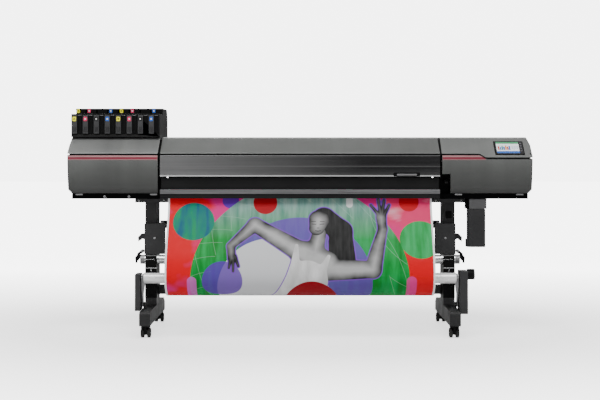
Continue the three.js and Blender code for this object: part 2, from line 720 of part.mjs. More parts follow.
// A twin-wheel castor about its swivel axis, trailing towards +Y.
function castorFork() {
  const plateZ = 2 * CASTOR_RADIUS + 3;
  const rib = [-TREAD_GAP / 2 + 2, TREAD_GAP / 2 - 2];
  const body = block(rib, [-14, CASTOR_TRAIL + 12], [CASTOR_RADIUS - 10, plateZ + 1]);
  const fender = block([-26, 26], [-20, CASTOR_TRAIL + 16], [plateZ, footZ[0] - 6]);
  const stem = turnedZ(9, footZ[0] - 7, footZ[0] - GAP, 0, 0, 16);
  const bore = turnedX([[-TREAD_GAP, TREAD_GAP, AXLE_RADIUS + 0.8]], CASTOR_TRAIL, CASTOR_RADIUS, 16);
  return body.add(fender).add(stem).subtract(bore);
}

function castorWheels() {
  const inner = TREAD_GAP / 2;
  const outer = inner + TREAD_WIDTH;
  const edge = 3;
  return turnedX(
    [
      [-outer, -outer + edge, CASTOR_RADIUS - edge],
      [-outer + edge, -inner, CASTOR_RADIUS],
      [-inner, inner, AXLE_RADIUS],
      [inner, outer - edge, CASTOR_RADIUS],
      [outer - edge, outer, CASTOR_RADIUS - edge],
    ],
    CASTOR_TRAIL,
    CASTOR_RADIUS,
    20,
  );
}

// The open seat in front of each post that the take-up shaft's end lies in.
function cradle() {
  const x = [legX - 45, legX + 22];
  const reach = TAKEUP_RADIUS + CRADLE_CLEARANCE;
  const y = [TAKEUP_Y - reach - 12, -POST_DEPTH / 2 - GAP];
  const seat = turnedX([[x[0] - 1, x[1] + 1, reach]], TAKEUP_Y, TAKEUP_Z, 24);
  const mouth = block([x[0] - 1, x[1] + 1], [TAKEUP_Y - reach, TAKEUP_Y + reach], [TAKEUP_Z, TAKEUP_Z + 60]);
  return block(x, y, [TAKEUP_Z - reach - 44, TAKEUP_Z + 24]).subtract(seat).subtract(mouth);
}

// A hooked plate that holds the take-up shaft's end down; it turns about LATCH_PIVOT.
const LATCH_PIVOT = [legX + POST_WIDTH / 2 + 13, TAKEUP_Z + TAKEUP_RADIUS + 22];
function latch() {
  const [x, z] = LATCH_PIVOT;
  const radius = 10.5;
  const boss = Array.from({ length: 7 }, (_, i) => {
    const angle = Math.PI * (0.4 + i / 6);
    return [x + radius * Math.cos(angle), z + radius * Math.sin(angle)];
  });
  const clear = TAKEUP_Z + TAKEUP_RADIUS + 3;
  const hook = [
    [takeupHalf + 4, clear],
    [takeupHalf + 4, clear - 22],
    [takeupHalf + 16, clear - 40],
    [takeupHalf + 24, clear - 44],
    [takeupHalf + 22, clear + 4],
  ];
  const rear = -POST_DEPTH / 2 - 15;
  return slabY([...boss, ...hook], rear - LATCH_THICKNESS, rear);
}

const flankOf = (sign) => {
  const flank = group();
  flank.scale.x = sign;
  return flank;
};

function stand() {
  for (const [side, sign] of [["left", -1], ["right", 1]]) {
    const flank = flankOf(sign);
    part(side + "_leg", leg(), FINISH.steel, flank);
    part(side + "_foot", foot(), FINISH.steel, flank);
    part(side + "_takeup_cradle", cradle(), FINISH.black, flank);
    part(side + "_shaft_latch", latch(), FINISH.steel, flank);
    for (const [end, y] of [["front", -CASTOR_Y], ["rear", CASTOR_Y]]) {
      const castor = group(flank);
      castor.position.set(legX, y, 0);
      part(side + "_" + end + "_castor_fork", castorFork(), FINISH.black, castor);
      part(side + "_" + end + "_castor_wheels", castorWheels(), FINISH.rubber, castor);
    }
  }
  const span = legX - POST_WIDTH / 2 - GAP;
  const stretcherZ = STRETCHER_Z.map((z) => footZ[1] + z);
  part("stretcher", boxTube([-span, span], STRETCHER_Y, stretcherZ, POST_WALL), FINISH.steel);
}

// ---- Take-up, supply roll, web and waste bottle ----
function tube(steps, bore, y, z) {
  const end = steps.at(-1)[1];
  return turnedX(steps, y, z).subtract(turnedX([[-end - 1, end + 1, bore]], y, z));
}

function tensionArm() {
  const outline = [
    [PIVOT_Y - 10, pivotZ - 12],
    [PIVOT_Y + 10, pivotZ - 12],
    [PIVOT_Y + 12, pivotZ + 8],
    [DANCER_Y + 26, DANCER_Z + 6],
    [DANCER_Y + 14, DANCER_Z + 24],
    [DANCER_Y - 14, DANCER_Z + 24],
    [DANCER_Y - 26, DANCER_Z + 6],
    [PIVOT_Y - 12, pivotZ + 8],
  ];
  return slabX(outline, ...armX);
}

// A box outside each foot, on a tongue that meets the foot's side.
function sideBox([width, bottom, top]) {
  const x = [armX[1] + 4, armX[1] + 4 + width];
  const tongueX = [legX + FOOT_WIDTH / 2 + GAP, x[0] + 1];
  const tongue = block(tongueX, [BOX_Y[1] - 30, BOX_Y[1]], [bottom, footZ[1] - 4]);
  return block(x, BOX_Y, [bottom, top]).add(tongue);
}

function takeUp() {
  const core = MEDIA_WIDTH / 2;
  const shaft = [
    [-takeupHalf, -core, TAKEUP_RADIUS],
    [-core, core, TAKEUP_ROLL_RADIUS],
    [core, takeupHalf, TAKEUP_RADIUS],
  ];
  part("takeup_shaft", tube(shaft, TAKEUP_RADIUS - TUBE_WALL, TAKEUP_Y, TAKEUP_Z), FINISH.alloy);
  const dancerHalf = armX[0] - ARM_CLEARANCE;
  const bar = [[-dancerHalf, dancerHalf, DANCER_RADIUS]];
  const dancer = tube(bar, DANCER_RADIUS - TUBE_WALL, DANCER_Y, DANCER_Z);
  part("tension_bar", dancer, FINISH.alloy);
  const left = flankOf(-1);
  const right = flankOf(1);
  part("left_tension_arm", tensionArm(), FINISH.alloy, left);
  part("right_tension_arm", tensionArm(), FINISH.alloy, right);
  part("left_sensor_box", sideBox(SENSOR_BOX), FINISH.steel, left);
  const driveEnd = armX[1] + 4 + DRIVE_BOX[0];
  const motor = [
    [driveEnd - 1, driveEnd + 6, MOTOR_RADIUS * 0.75],
    [driveEnd + 6, driveEnd + MOTOR_LENGTH, MOTOR_RADIUS],
  ];
  part("right_drive_box", sideBox(DRIVE_BOX).add(turnedX(motor, MOTOR_Y, MOTOR_Z)), FINISH.steel, right);
}

function supplyRoll() {
  const core = MEDIA_WIDTH / 2;
  const flange = [core + 1, core + 1 + FLANGE_THICKNESS];
  const end = legX - 15;
  const rim = SUPPLY_RADIUS + FLANGE_RIM;
  const steps = [
    [-end, -flange[1], SUPPLY_SHAFT_RADIUS],
    [-flange[1], -flange[0], rim],
    [-flange[0], flange[0], SUPPLY_RADIUS],
    [flange[0], flange[1], rim],
    [flange[1], end, SUPPLY_SHAFT_RADIUS],
  ];
  part("supply_roll", tube(steps, SUPPLY_SHAFT_RADIUS - TUBE_WALL, supplyY, SUPPLY_Z), FINISH.media);
}

// The web's centre line in the YZ plane, from the supply roll over the platen to the take-up roll.
function webLine() {
  const rest = platenTop + MEDIA_THICKNESS / 2 + 0.5;
  const over = [
    [supplyY - SUPPLY_RADIUS - 4, SUPPLY_Z + 6],
    [APRON_REAR + 12, platenTop - 70],
    [APRON_REAR + 3, platenTop - 20],
    [APRON_REAR - 10, platenTop - 1],
    [APRON_REAR - 34, rest],
    [0, rest],
    [PLATEN_FRONT + 4, rest],
    [PLATEN_FRONT - 12, platenTop - 5],
  ];
  const loopY = DANCER_Y + 12;
  const loopZ = DANCER_Z + 27;
  const reachY = loopY + HALF_DEPTH - MEDIA_THICKNESS / 2;
  const drop = DANCER_RADIUS + 100;
  const [startY, startZ] = [PLATEN_FRONT - 24, platenTop - 28];
  const steps = 6;
  const fall = Array.from({ length: steps }, (_, i) => {
    const t = i / steps;
    const swing = t * t * (3 - 2 * t);
    return [startY + (loopY - reachY - startY) * swing, startZ + (loopZ - startZ) * t];
  });
  const loop = Array.from({ length: 9 }, (_, i) => {
    const angle = Math.PI * (1 + i / 8);
    return [loopY + reachY * Math.cos(angle), loopZ + drop * Math.sin(angle)];
  });
  const wind = [[TAKEUP_Y + TAKEUP_ROLL_RADIUS + 4, TAKEUP_Z + 4]];
  const points = [...over, ...fall, ...loop, ...wind].map(([y, z]) => new THREE.Vector3(0, y, z));
  return new THREE.CatmullRomCurve3(points, false, "centripetal");
}

function web() {
  const curve = webLine();
  const steps = 72;
  const side = (sign) =>
    Array.from({ length: steps + 1 }, (_, i) => {
      const point = curve.getPoint(i / steps);
      const along = curve.getTangent(i / steps);
      const offset = (sign * MEDIA_THICKNESS) / 2;
      return [point.y - along.z * offset, point.z + along.y * offset];
    });
  const outline = [...side(1), ...side(-1).reverse()];
  part("media_web", slabX(outline, -MEDIA_WIDTH / 2, MEDIA_WIDTH / 2), FINISH.media);
}

function wasteBottle() {
  const top = BODY_BOTTOM - BOTTLE_MOUNT - GAP - 1;
  const body = block([bottleX[0] - 2, bottleX[1] - 4], BOTTLE_Y, [BOTTLE_Z, top]);
  const heelX = [bottleX[0] - 16, bottleX[0]];
  const heel = block(heelX, [BOTTLE_Y[0] + 10, BOTTLE_Y[0] + 70], [BOTTLE_Z, BOTTLE_Z + 48]);
  part("waste_bottle", body.add(heel), FINISH.bottle);
}

housing();
mechanism();
frontWindow();
inkTower();
stand();
takeUp();
supplyRoll();
web();
wasteBottle();

export default model;
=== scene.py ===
"""The looks of a wide-format roll-fed printer cutter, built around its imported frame.

Metres, +X to the operator's right, -Y towards the operator, +Z up, the floor at z = 0.
"""

import json
import math

import bmesh
import bpy
from mathutils import Matrix, Vector


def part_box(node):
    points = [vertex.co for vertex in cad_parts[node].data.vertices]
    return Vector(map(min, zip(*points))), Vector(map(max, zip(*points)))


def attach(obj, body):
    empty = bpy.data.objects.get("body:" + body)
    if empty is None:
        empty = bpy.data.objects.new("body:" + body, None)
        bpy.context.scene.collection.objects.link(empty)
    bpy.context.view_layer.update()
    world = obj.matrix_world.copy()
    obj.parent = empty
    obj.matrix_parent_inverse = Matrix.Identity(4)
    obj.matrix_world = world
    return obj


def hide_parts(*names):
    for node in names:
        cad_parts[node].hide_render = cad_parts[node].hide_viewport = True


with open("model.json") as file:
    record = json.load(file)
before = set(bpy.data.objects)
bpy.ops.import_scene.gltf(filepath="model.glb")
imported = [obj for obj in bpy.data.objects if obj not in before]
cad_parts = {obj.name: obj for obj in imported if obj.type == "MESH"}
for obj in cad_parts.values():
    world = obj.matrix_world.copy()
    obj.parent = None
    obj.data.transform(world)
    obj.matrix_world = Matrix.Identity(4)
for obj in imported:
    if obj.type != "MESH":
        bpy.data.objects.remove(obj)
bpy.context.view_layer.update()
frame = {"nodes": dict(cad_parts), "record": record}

NODES = frame["nodes"]
BODY_OF = {node: body for body, held in frame["record"]["behaviour"]["bodies"].items() for node in held}
MM = 0.001
BACKDROP = 7.0
FLOOR_GLOW = 1.5
CREASE_Z = 1.021
WHITE = (1.0, 1.0, 1.0, 1.0)


# ---------------------------------------------------------------- camera, stage and lights
def add_camera():
    data = bpy.data.cameras.new("camera")
    data.lens = 69.24
    data.sensor_width = 36.0
    data.shift_y = -0.075
    camera = bpy.data.objects.new("camera", data)
    camera.location = (0.0, -7.205, 1.090)
    camera.rotation_euler = (math.radians(90), 0.0, 0.0)
    bpy.context.collection.objects.link(camera)
    bpy.context.scene.camera = camera


def area_light(name, place, target, size, power):
    data = bpy.data.lights.new(name, "AREA")
    data.shape = "RECTANGLE"
    data.size, data.size_y = size
    data.energy = power
    light = bpy.data.objects.new(name, data)
    light.location = place
    light.rotation_euler = (Vector(target) - light.location).to_track_quat("-Z", "Y").to_euler()
    bpy.context.collection.objects.link(light)


def add_lights():
    area_light("key_above", (0.0, -2.6, 4.4), (0.0, 0.0, 0.9), (5.0, 2.0), 230)
    area_light("fill_left", (-4.6, -4.0, 1.9), (-0.4, 0.0, 0.8), (2.4, 2.6), 62)
    area_light("fill_right", (4.6, -3.6, 2.0), (0.4, 0.0, 0.8), (2.4, 2.4), 34)
    area_light("back_above", (0.0, 3.6, 3.4), (0.0, 0.0, 0.9), (5.0, 1.6), 110)


def add_world():
    """A white backdrop to the camera, and a dim grey room, lighter overhead, to everything else."""
    world = bpy.data.worlds.new("studio")
    bpy.context.scene.world = world
    world.use_nodes = True
    nodes, link = world.node_tree.nodes, world.node_tree.links.new
    split = nodes.new("ShaderNodeSeparateXYZ")
    rise = nodes.new("ShaderNodeMapRange")
    for socket, value in (("From Min", -0.2), ("From Max", 0.8), ("To Min", 0.14), ("To Max", 0.42)):
        rise.inputs[socket].default_value = value
    room, backdrop = nodes["Background"], nodes.new("ShaderNodeBackground")
    room.inputs["Color"].default_value = WHITE
    backdrop.inputs["Strength"].default_value = BACKDROP
    chosen = nodes.new("ShaderNodeMixShader")
    link(nodes.new("ShaderNodeTexCoord").outputs["Generated"], split.inputs[0])
    link(split.outputs["Z"], rise.inputs["Value"])
    link(rise.outputs["Result"], room.inputs["Strength"])
    link(nodes.new("ShaderNodeLightPath").outputs["Is Camera Ray"], chosen.inputs[0])
    link(room.outputs[0], chosen.inputs[1])
    link(backdrop.outputs[0], chosen.inputs[2])
    link(chosen.outputs[0], nodes["World Output"].inputs["Surface"])


# ---------------------------------------------------------------- materials
class Finish:
    """One procedural material: a Principled shader and the nodes that feed it."""

    def __init__(self, name, color, roughness, metallic=0.0, **sockets):
        self.made = bpy.data.materials.new(name)
        self.made.use_nodes = True
        self.tree = self.made.node_tree
        self.shader = self.tree.nodes["Principled BSDF"]
        self.shader.inputs["Base Color"].default_value = (*color, 1.0)
        self.shader.inputs["Roughness"].default_value = roughness
        self.shader.inputs["Metallic"].default_value = metallic
        for socket, value in sockets.items():
            self.shader.inputs[socket.replace("_", " ")].default_value = value
        self.place = self.node("ShaderNodeTexCoord").outputs["Object"]

    def axes(self):
        split = self.node("ShaderNodeSeparateXYZ")
        self.join(self.place, split.inputs[0])
        return split.outputs

    def math(self, operation, *values, clamp=False):
        made = self.node("ShaderNodeMath", operation=operation, use_clamp=clamp)
        for value, socket in zip(values, made.inputs):
            self.join(value, socket)
        return made.outputs[0]

    def vector(self, operation, first, second=None):
        made = self.node("ShaderNodeVectorMath", operation=operation)
        self.join(first, made.inputs[0])
        if second is not None:
            self.join(second, made.inputs["Scale" if operation == "SCALE" else 1])
        return made.outputs["Value" if operation in ("DISTANCE", "DOT_PRODUCT", "LENGTH") else "Vector"]

    def node(self, kind, **settings):
        made = self.tree.nodes.new(kind)
        for key, value in settings.items():
            setattr(made, key, value)
        return made

    def join(self, source, socket):
        if hasattr(source, "is_linked"):
            self.tree.links.new(source, socket)
        else:
            socket.default_value = source

    def noise(self, scale, detail=2.0, stretch=(1.0, 1.0, 1.0)):
        mapping = self.node("ShaderNodeMapping")
        mapping.inputs["Scale"].default_value = stretch
        self.join(self.place, mapping.inputs["Vector"])
        made = self.node("ShaderNodeTexNoise")
        self.join(mapping.outputs["Vector"], made.inputs["Vector"])
        made.inputs["Scale"].default_value = scale
        made.inputs["Detail"].default_value = detail
        return made.outputs["Fac"]

    def spread(self, value, low, high, start=0.3, end=0.7):
        made = self.node("ShaderNodeMapRange", clamp=True)
        self.join(value, made.inputs["Value"])
        made.inputs["From Min"].default_value = start
        made.inputs["From Max"].default_value = end
        made.inputs["To Min"].default_value = low
        made.inputs["To Max"].default_value = high
        return made.outputs["Result"]

    def mix(self, share, first, second):
        made = self.node("ShaderNodeMix", data_type="RGBA")
        self.join(share, made.inputs["Factor"])
        for value, wanted in ((first, "A_Color"), (second, "B_Color")):
            socket = next(s for s in made.inputs if s.identifier == wanted)
            self.join((*value, 1.0) if isinstance(value, tuple) else value, socket)
        return made.outputs[2]

    def bump(self, height, strength, distance):
        made = self.node("ShaderNodeBump")
        made.inputs["Strength"].default_value = strength
        made.inputs["Distance"].default_value = distance
        self.join(height, made.inputs["Height"])
        self.join(made.outputs["Normal"], self.shader.inputs["Normal"])

    def color_from(self, value):
        self.join(value, self.shader.inputs["Base Color"])

    def roughness_from(self, value):
        self.join(value, self.shader.inputs["Roughness"])


def shade(color, factor):
    return tuple(min(1.0, c * factor) for c in color)


def moulded(name, color, roughness, metallic=0.0, grain=0.12, vary=0.12, **sockets):
    """Moulded or coated surface: a fine grain, slow colour drift and patches of wear in the gloss."""
    made = Finish(name, color, roughness, metallic, **sockets)
    drift = made.noise(2.2, 4.0)
    made.color_from(made.mix(made.spread(drift, 0.0, 1.0), shade(color, 1 - vary), shade(color, 1 + vary)))
    made.roughness_from(made.spread(made.noise(9.0, 5.0), roughness * 0.85, roughness * 1.15))
    made.bump(made.noise(1400.0, 1.0), grain, 0.0002)
    return made.made


def cover_finish(name, color, painted_reflection_banding=0.1, painted_shade_fade=0.0):
    """Metallic grey paint: flakes, faint streaks along X that are painted reflections, and painted shade
    darkening it at the foot and towards the right.
    """
    made = Finish(name, color, 0.36, 0.55, Coat_Weight=0.25, Coat_Roughness=0.2)
    x, _, z = made.axes()
    flakes = made.spread(made.noise(900.0, 1.0), 0.94, 1.06)
    # Painted shade: the colour darkens towards the foot of each cover.
    level = made.math("MULTIPLY", made.spread(z, 0.12, 0.66, 0.86, 1.09), flakes)
    # Painted reflection: faint vertical streaks along X, as of nearby things mirrored in the paint.
    painted_reflection_bands = made.spread(made.noise(7.0, 3.0, (1.0, 0.05, 0.05)), 1 - painted_reflection_banding, 1 + painted_reflection_banding)
    level = made.math("MULTIPLY", level, painted_reflection_bands)
    # Painted shade: lighter at the left end, darker towards the right.
    level = made.math("MULTIPLY", level, made.spread(x, 1 + painted_shade_fade, 1 - painted_shade_fade, -0.85, 0.85), clamp=True)
    made.color_from(made.mix(level, (0.0, 0.0, 0.0), color))
    made.roughness_from(made.spread(made.noise(14.0, 4.0), 0.32, 0.42))
    made.bump(made.noise(1200.0, 1.0), 0.06, 0.0002)
    return made.made


def brushed(name, color, roughness, stretch, metallic=1.0):
    """Brushed or drawn metal: fine lines along the axis whose stretch is small."""
    made = Finish(name, color, roughness, metallic)
    lines = made.noise(260.0, 4.0, stretch)
    made.color_from(made.mix(made.spread(lines, 0.0, 1.0), shade(color, 0.86), shade(color, 1.08)))
    made.roughness_from(made.spread(lines, roughness * 0.7, roughness * 1.3))
    made.bump(lines, 0.12, 0.0002)
    return made.made


MOULDED = {  # name: material, colour, roughness, metallic, other settings
    "tray": ("tray_coat", (0.0008, 0.0008, 0.0009), 0.6, 0.0, {"grain": 0.3, "Specular_IOR_Level": 0.03}),
    "foot": ("foot_coat", (0.016, 0.016, 0.0165), 0.5, 0.0, {"grain": 0.3, "Specular_IOR_Level": 0.3}),
    "black": ("black_plastic", (0.0022, 0.0022, 0.0024), 0.45, 0.0, {"Specular_IOR_Level": 0.13}),
    "tower": ("tower_plastic", (0.008, 0.008, 0.0084), 0.5, 0.0, {"grain": 0.25, "Specular_IOR_Level": 0.25}),
    "strip": ("strip_plastic", (0.032, 0.032, 0.034), 0.45, 0.0, {"grain": 0.2}),
    "frame": ("frame_coat", (0.003, 0.003, 0.0033), 0.55, 0.0, {"grain": 0.3, "Specular_IOR_Level": 0.12}),
    "guard": ("guard_coat", (0.008, 0.008, 0.0083), 0.4, 0.0, {"grain": 0.1, "Specular_IOR_Level": 0.2}),
    "steel": ("grey_coat", (0.026, 0.026, 0.027), 0.5, 0.0, {"grain": 0.3, "Specular_IOR_Level": 0.35}),
    "bright": ("bright_metal", (0.72, 0.73, 0.74), 0.22, 1.0, {"grain": 0.03, "vary": 0.05}),
    "arm": ("arm_coat", (0.26, 0.26, 0.265), 0.36, 0.7, {"grain": 0.1}),
    "trim": ("trim_coat", (0.13, 0.13, 0.132), 0.5, 0.3, {"grain": 0.05, "vary": 0.05}),
    "rubber": ("rubber", (0.012, 0.012, 0.012), 0.75, 0.0, {"grain": 0.5}),
    "vinyl": ("white_vinyl", (0.86, 0.86, 0.87), 0.3, 0.0, {"grain": 0.03, "vary": 0.02}),
    "bottle": ("bottle_plastic", (0.019, 0.019, 0.020), 0.5, 0.0, {"grain": 0.2, "Specular_IOR_Level": 0.35}),
    "holder": ("holder_plastic", (0.060, 0.060, 0.062), 0.5, 0.0, {"grain": 0.2}),
    "accent": ("accent_red", (0.19, 0.024, 0.040), 0.4, 0.0, {"grain": 0.05}),
    # The pale pink of the accent's edges is a painted highlight.
    "accent_highlight": ("accent_highlight", (0.36, 0.18, 0.19), 0.4, 0.0, {"grain": 0.05}),
    "yellow": ("ink_yellow", (0.98, 0.88, 0.01), 0.5, 0.0, {"grain": 0.05, "Specular_IOR_Level": 0.2}),
    "magenta": ("ink_magenta", (0.62, 0.02, 0.10), 0.4, 0.0, {"grain": 0.05}),
    "cyan": ("ink_cyan", (0.015, 0.10, 0.46), 0.4, 0.0, {"grain": 0.05}),
    "white": ("tag_white", (0.85, 0.85, 0.84), 0.4, 0.0, {"grain": 0.05, "vary": 0.03}),
    "tube": ("tension_tube", (0.98, 0.98, 0.98), 0.26, 0.2, {"grain": 0.05, "vary": 0.03}),
    "glass": ("panel_glass", (0.010, 0.010, 0.012), 0.12, 0.0, {"grain": 0.0, "Coat_Weight": 1.0}),
    "ui_grey": ("panel_key", (0.09, 0.09, 0.10), 0.4, 0.0, {"grain": 0.05}),
}
BACKLIT = {
    "page": ("panel_page", (0.80, 0.82, 0.84)),
    "ui_green": ("panel_green", (0.05, 0.27, 0.12)),
    "ui_blue": ("panel_blue", (0.03, 0.11, 0.40)),
    "ui_red": ("panel_red", (0.45, 0.015, 0.015)),
    "ui_teal": ("panel_teal", (0.02, 0.20, 0.24)),
    "ui_orange": ("panel_orange", (0.70, 0.20, 0.01)),
    "ui_pale": ("panel_pale", (0.55, 0.62, 0.70)),
}


def make_finishes():
    along_x = (0.02, 1.0, 1.0)
    made = {
        "cover": cover_finish("cover_paint", (0.255, 0.264, 0.254)),
        # Painted light: the top covers get lighter copies of this paint, the left one lightest, with stronger
        # painted reflection streaks beside the ink tower.
        "left_top": cover_finish("left_top_paint", (0.42, 0.43, 0.42), 0.16),
        "right_top": cover_finish("right_top_paint", (0.34, 0.35, 0.34), 0.08),
        "bonnet": cover_finish("bonnet_paint", (0.262, 0.271, 0.261), 0.06, 0.11),
        "window": window_finish(),
        "alloy": brushed("silver_tube", (0.80, 0.81, 0.82), 0.26, along_x),
        "bar": brushed("grey_bar", (0.22, 0.22, 0.225), 0.38, along_x, 0.8),
        "floor": floor_finish(),
    }
    for name, (label, color, roughness, metallic, settings) in MOULDED.items():
        made[name] = moulded(label, color, roughness, metallic, **settings)
    for name, (label, color) in BACKLIT.items():
        made[name] = lit(label, color)
    return made


def floor_finish():
    """A white sweep: plain under the machine, burning out to the backdrop's white further away."""
    made = Finish("floor", (0.80, 0.80, 0.80), 0.7, Specular_IOR_Level=0.1, Emission_Color=WHITE)
    reach = made.vector("LENGTH", made.vector("MULTIPLY", made.place, (0.55, 1.0, 0.0)))
    glow = made.spread(reach, FLOOR_GLOW, BACKDROP - 1.1, 0.9, 4.0)
    seen = made.node("ShaderNodeLightPath").outputs["Is Camera Ray"]
    made.join(made.math("MULTIPLY", glow, seen), made.shader.inputs["Emission Strength"])
    return made.made


def lit(name, color):
    """A backlit patch of the display, faintly uneven."""
    made = Finish(name, color, 0.25, Emission_Color=(*color, 1.0), Emission_Strength=0.25)
    made.color_from(made.mix(made.noise(60.0, 2.0), shade(color, 0.94), shade(color, 1.06)))
    return made.made


def window_finish():
    """Smoked polycarbonate: painted reflection, paler to the left and in long streaks, and a painted
    highlight along a crease at mid height.
    """
    made = Finish("smoked_window", (0.016, 0.016, 0.018), 0.2, Coat_Weight=0.6, Coat_Roughness=0.08)
    x, _, z = made.axes()
    # Painted reflection: long pale streaks, and the smoked colour paler to the left.
    streaks = made.spread(made.noise(70.0, 3.0, (0.012, 1.0, 1.0)), -0.10, 0.10)
    share = made.math("ADD", made.spread(x, 1.0, 0.0, -0.75, 0.38), streaks, clamp=True)
    smoke_and_painted_reflection = made.mix(share, (0.006, 0.006, 0.0065), (0.118, 0.118, 0.119))
    # Painted highlight: a pale line along the crease at mid height.
    off_crease = made.math("ABSOLUTE", made.math("SUBTRACT", z, CREASE_Z))
    crease_highlight = made.spread(off_crease, 0.35, 0.0, 0.0015, 0.006)
    made.color_from(made.mix(crease_highlight, smoke_and_painted_reflection, (0.13, 0.13, 0.13)))
    made.roughness_from(made.spread(made.noise(6.0, 3.0), 0.14, 0.26))
    made.bump(made.noise(3.0, 2.0, (0.3, 1.0, 1.0)), 0.12, 0.002)
    return made.made


# ---------------------------------------------------------------- mesh helpers
def mark_sharp(bm, degrees=32):
    limit = math.radians(degrees)
    for face in bm.faces:
        face.smooth = True
    for edge in bm.edges:
        if len(edge.link_faces) != 2 or edge.calc_face_angle(0.0) > limit:
            edge.smooth = False


def object_from(bm, name, finish):
    bmesh.ops.recalc_face_normals(bm, faces=bm.faces)
    mark_sharp(bm)
    mesh = bpy.data.meshes.new(name)
    bm.to_mesh(mesh)
    bm.free()
    mesh.materials.append(FINISH[finish])
    obj = bpy.data.objects.new(name, mesh)
    bpy.context.collection.objects.link(obj)
    return obj


def soften(obj, width, segments=2):
    bevel = obj.modifiers.new("bevel", "BEVEL")
    bevel.width = width
    bevel.segments = segments
    bevel.limit_method = "ANGLE"
    bevel.angle_limit = math.radians(32)
    bevel.use_clamp_overlap = True
    bevel.harden_normals = True
    for polygon in obj.data.polygons:
        polygon.use_smooth = True


def piece(obj, body="root", stands_for=()):
    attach(obj, body)
    if stands_for:
        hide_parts(*stands_for)
    return obj


def softened(node, finish, width=1.5 * MM, segments=2):
    """A copy of a CAD node's own shape with its flat faces whole and its edges rounded."""
    bm = bmesh.new()
    bm.from_mesh(NODES[node].data)
    bmesh.ops.remove_doubles(bm, verts=bm.verts, dist=1e-6)
    bmesh.ops.dissolve_limit(bm, angle_limit=math.radians(1.0), verts=bm.verts, edges=bm.edges)
    obj = object_from(bm, node + "_skin", finish)
    soften(obj, width, segments)
    return piece(obj, BODY_OF[node], (node,))


def prism(name, finish, outline, depth, matrix, bevel=0.0, body="root"):
    """A flat outline of (u, v) with thickness depth along local z, placed by matrix."""
    bm = bmesh.new()
    low = [bm.verts.new(matrix @ Vector((u, v, 0.0))) for u, v in outline]
    high = [bm.verts.new(matrix @ Vector((u, v, depth))) for u, v in outline]
    bm.faces.new(low[::-1])
    bm.faces.new(high)
    for i in range(len(outline)):
        j = (i + 1) % len(outline)
        bm.faces.new((low[i], low[j], high[j], high[i]))
    obj = object_from(bm, name, finish)
    if bevel:
        soften(obj, bevel)
    return piece(obj, body)


def rounded(width, height, radius, steps=5):
    """A rectangle with round corners, centred on the origin."""
    points = []
    for cx, cy, start in ((1, 1, 0), (-1, 1, 90), (-1, -1, 180), (1, -1, 270)):
        for i in range(steps + 1):
            angle = math.radians(start + 90 * i / steps)
            x = cx * (width / 2 - radius) + radius * math.cos(angle)
            y = cy * (height / 2 - radius) + radius * math.sin(angle)
            points.append((x, y))
    return points


def circle(radius, steps=28):
    return [(radius * math.cos(2 * math.pi * i / steps), radius * math.sin(2 * math.pi * i / steps))
            for i in range(steps)]


def facing_front(x, y, z):
    """Local x to +X, local y to +Z, local z towards the operator."""
    return Matrix(((1, 0, 0, x), (0, 0, -1, y), (0, 1, 0, z), (0, 0, 0, 1)))


def facing_back(x, y, z):
    return Matrix(((-1, 0, 0, x), (0, 0, 1, y), (0, 1, 0, z), (0, 0, 0, 1)))


def facing_side(x, y, z, side=1):
    """Local x to +Y, local y to +Z, local z out to the given side."""
    return Matrix(((0, 0, side, x), (1, 0, 0, y), (0, 1, 0, z), (0, 0, 0, 1)))


def turned(name, finish, profile, y, z, sides=64, body="root", slot="alloy", stands_for=(), x=0.0):
    """A closed ring profile of (x, radius) turned about the X axis through (y, z)."""
    bm = bmesh.new()
    rings = []
    for i in range(sides):
        across, up = math.sin(2 * math.pi * i / sides), math.cos(2 * math.pi * i / sides)
        rings.append([bm.verts.new((x + u, y + r * across, z + r * up)) for u, r in profile])
    count = len(profile)
    for i in range(sides):
        here, after = rings[i], rings[(i + 1) % sides]
        for k in range(count):
            n = (k + 1) % count
            bm.faces.new((here[k], here[n], after[n], after[k]))
    obj = object_from(bm, name, finish)
    return piece(obj, body, stands_for)


def ring_profile(x0, x1, inner, outer, edge):
    """The section of a tube from x0 to x1 with its outer edges broken by edge."""
    rim = outer - edge
    return [(x0, inner), (x0, rim), (x0 + edge, outer), (x1 - edge, outer), (x1, rim), (x1, inner)]


# ---------------------------------------------------------------- places read from the frame
FINISH = make_finishes()


def box(node):
    low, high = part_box(node)
    return Vector(low), Vector(high)


def axle_of(node):
    """The (y, z) line through the middle of a node that turns about X."""
    middle = sum(box(node), Vector()) / 2
    return middle.y, middle.z


END_LOW, END_HIGH = box("right_end_cover")
BONNET_LOW, BONNET_HIGH = box("centre_top_cover")
FACE_Y = BONNET_LOW.y + 2 * MM
SPLIT_Z = box("left_end_cover")[1].z
TRAY_Z = END_LOW.z
BODY_BOTTOM = box("base_frame")[0].z + 60 * MM
PLATEN_TOP = box("platen")[1].z
STEP_DROP = 23 * MM
STEP_LENGTH = 57 * MM
STEP_END = END_HIGH.x - 272 * MM
FACE_BULGE = 9 * MM
MOUTH_HALF = 0.843
MEDIA_HALF = 0.8


def face_y(z):
    """The crowned front face of the end covers at height z."""
    foot = TRAY_Z + 24 * MM
    middle = (SPLIT_Z + TRAY_Z) / 2
    low, high = 0.0, 1.0
    for _ in range(24):
        t = (low + high) / 2
        here = (1 - t) ** 2 * SPLIT_Z + 2 * t * (1 - t) * middle + t * t * foot
        low, high = (t, high) if here > z else (low, t)
    return (1 - t) ** 2 * FACE_Y + 2 * t * (1 - t) * (FACE_Y - FACE_BULGE) + t * t * (FACE_Y + 6 * MM)


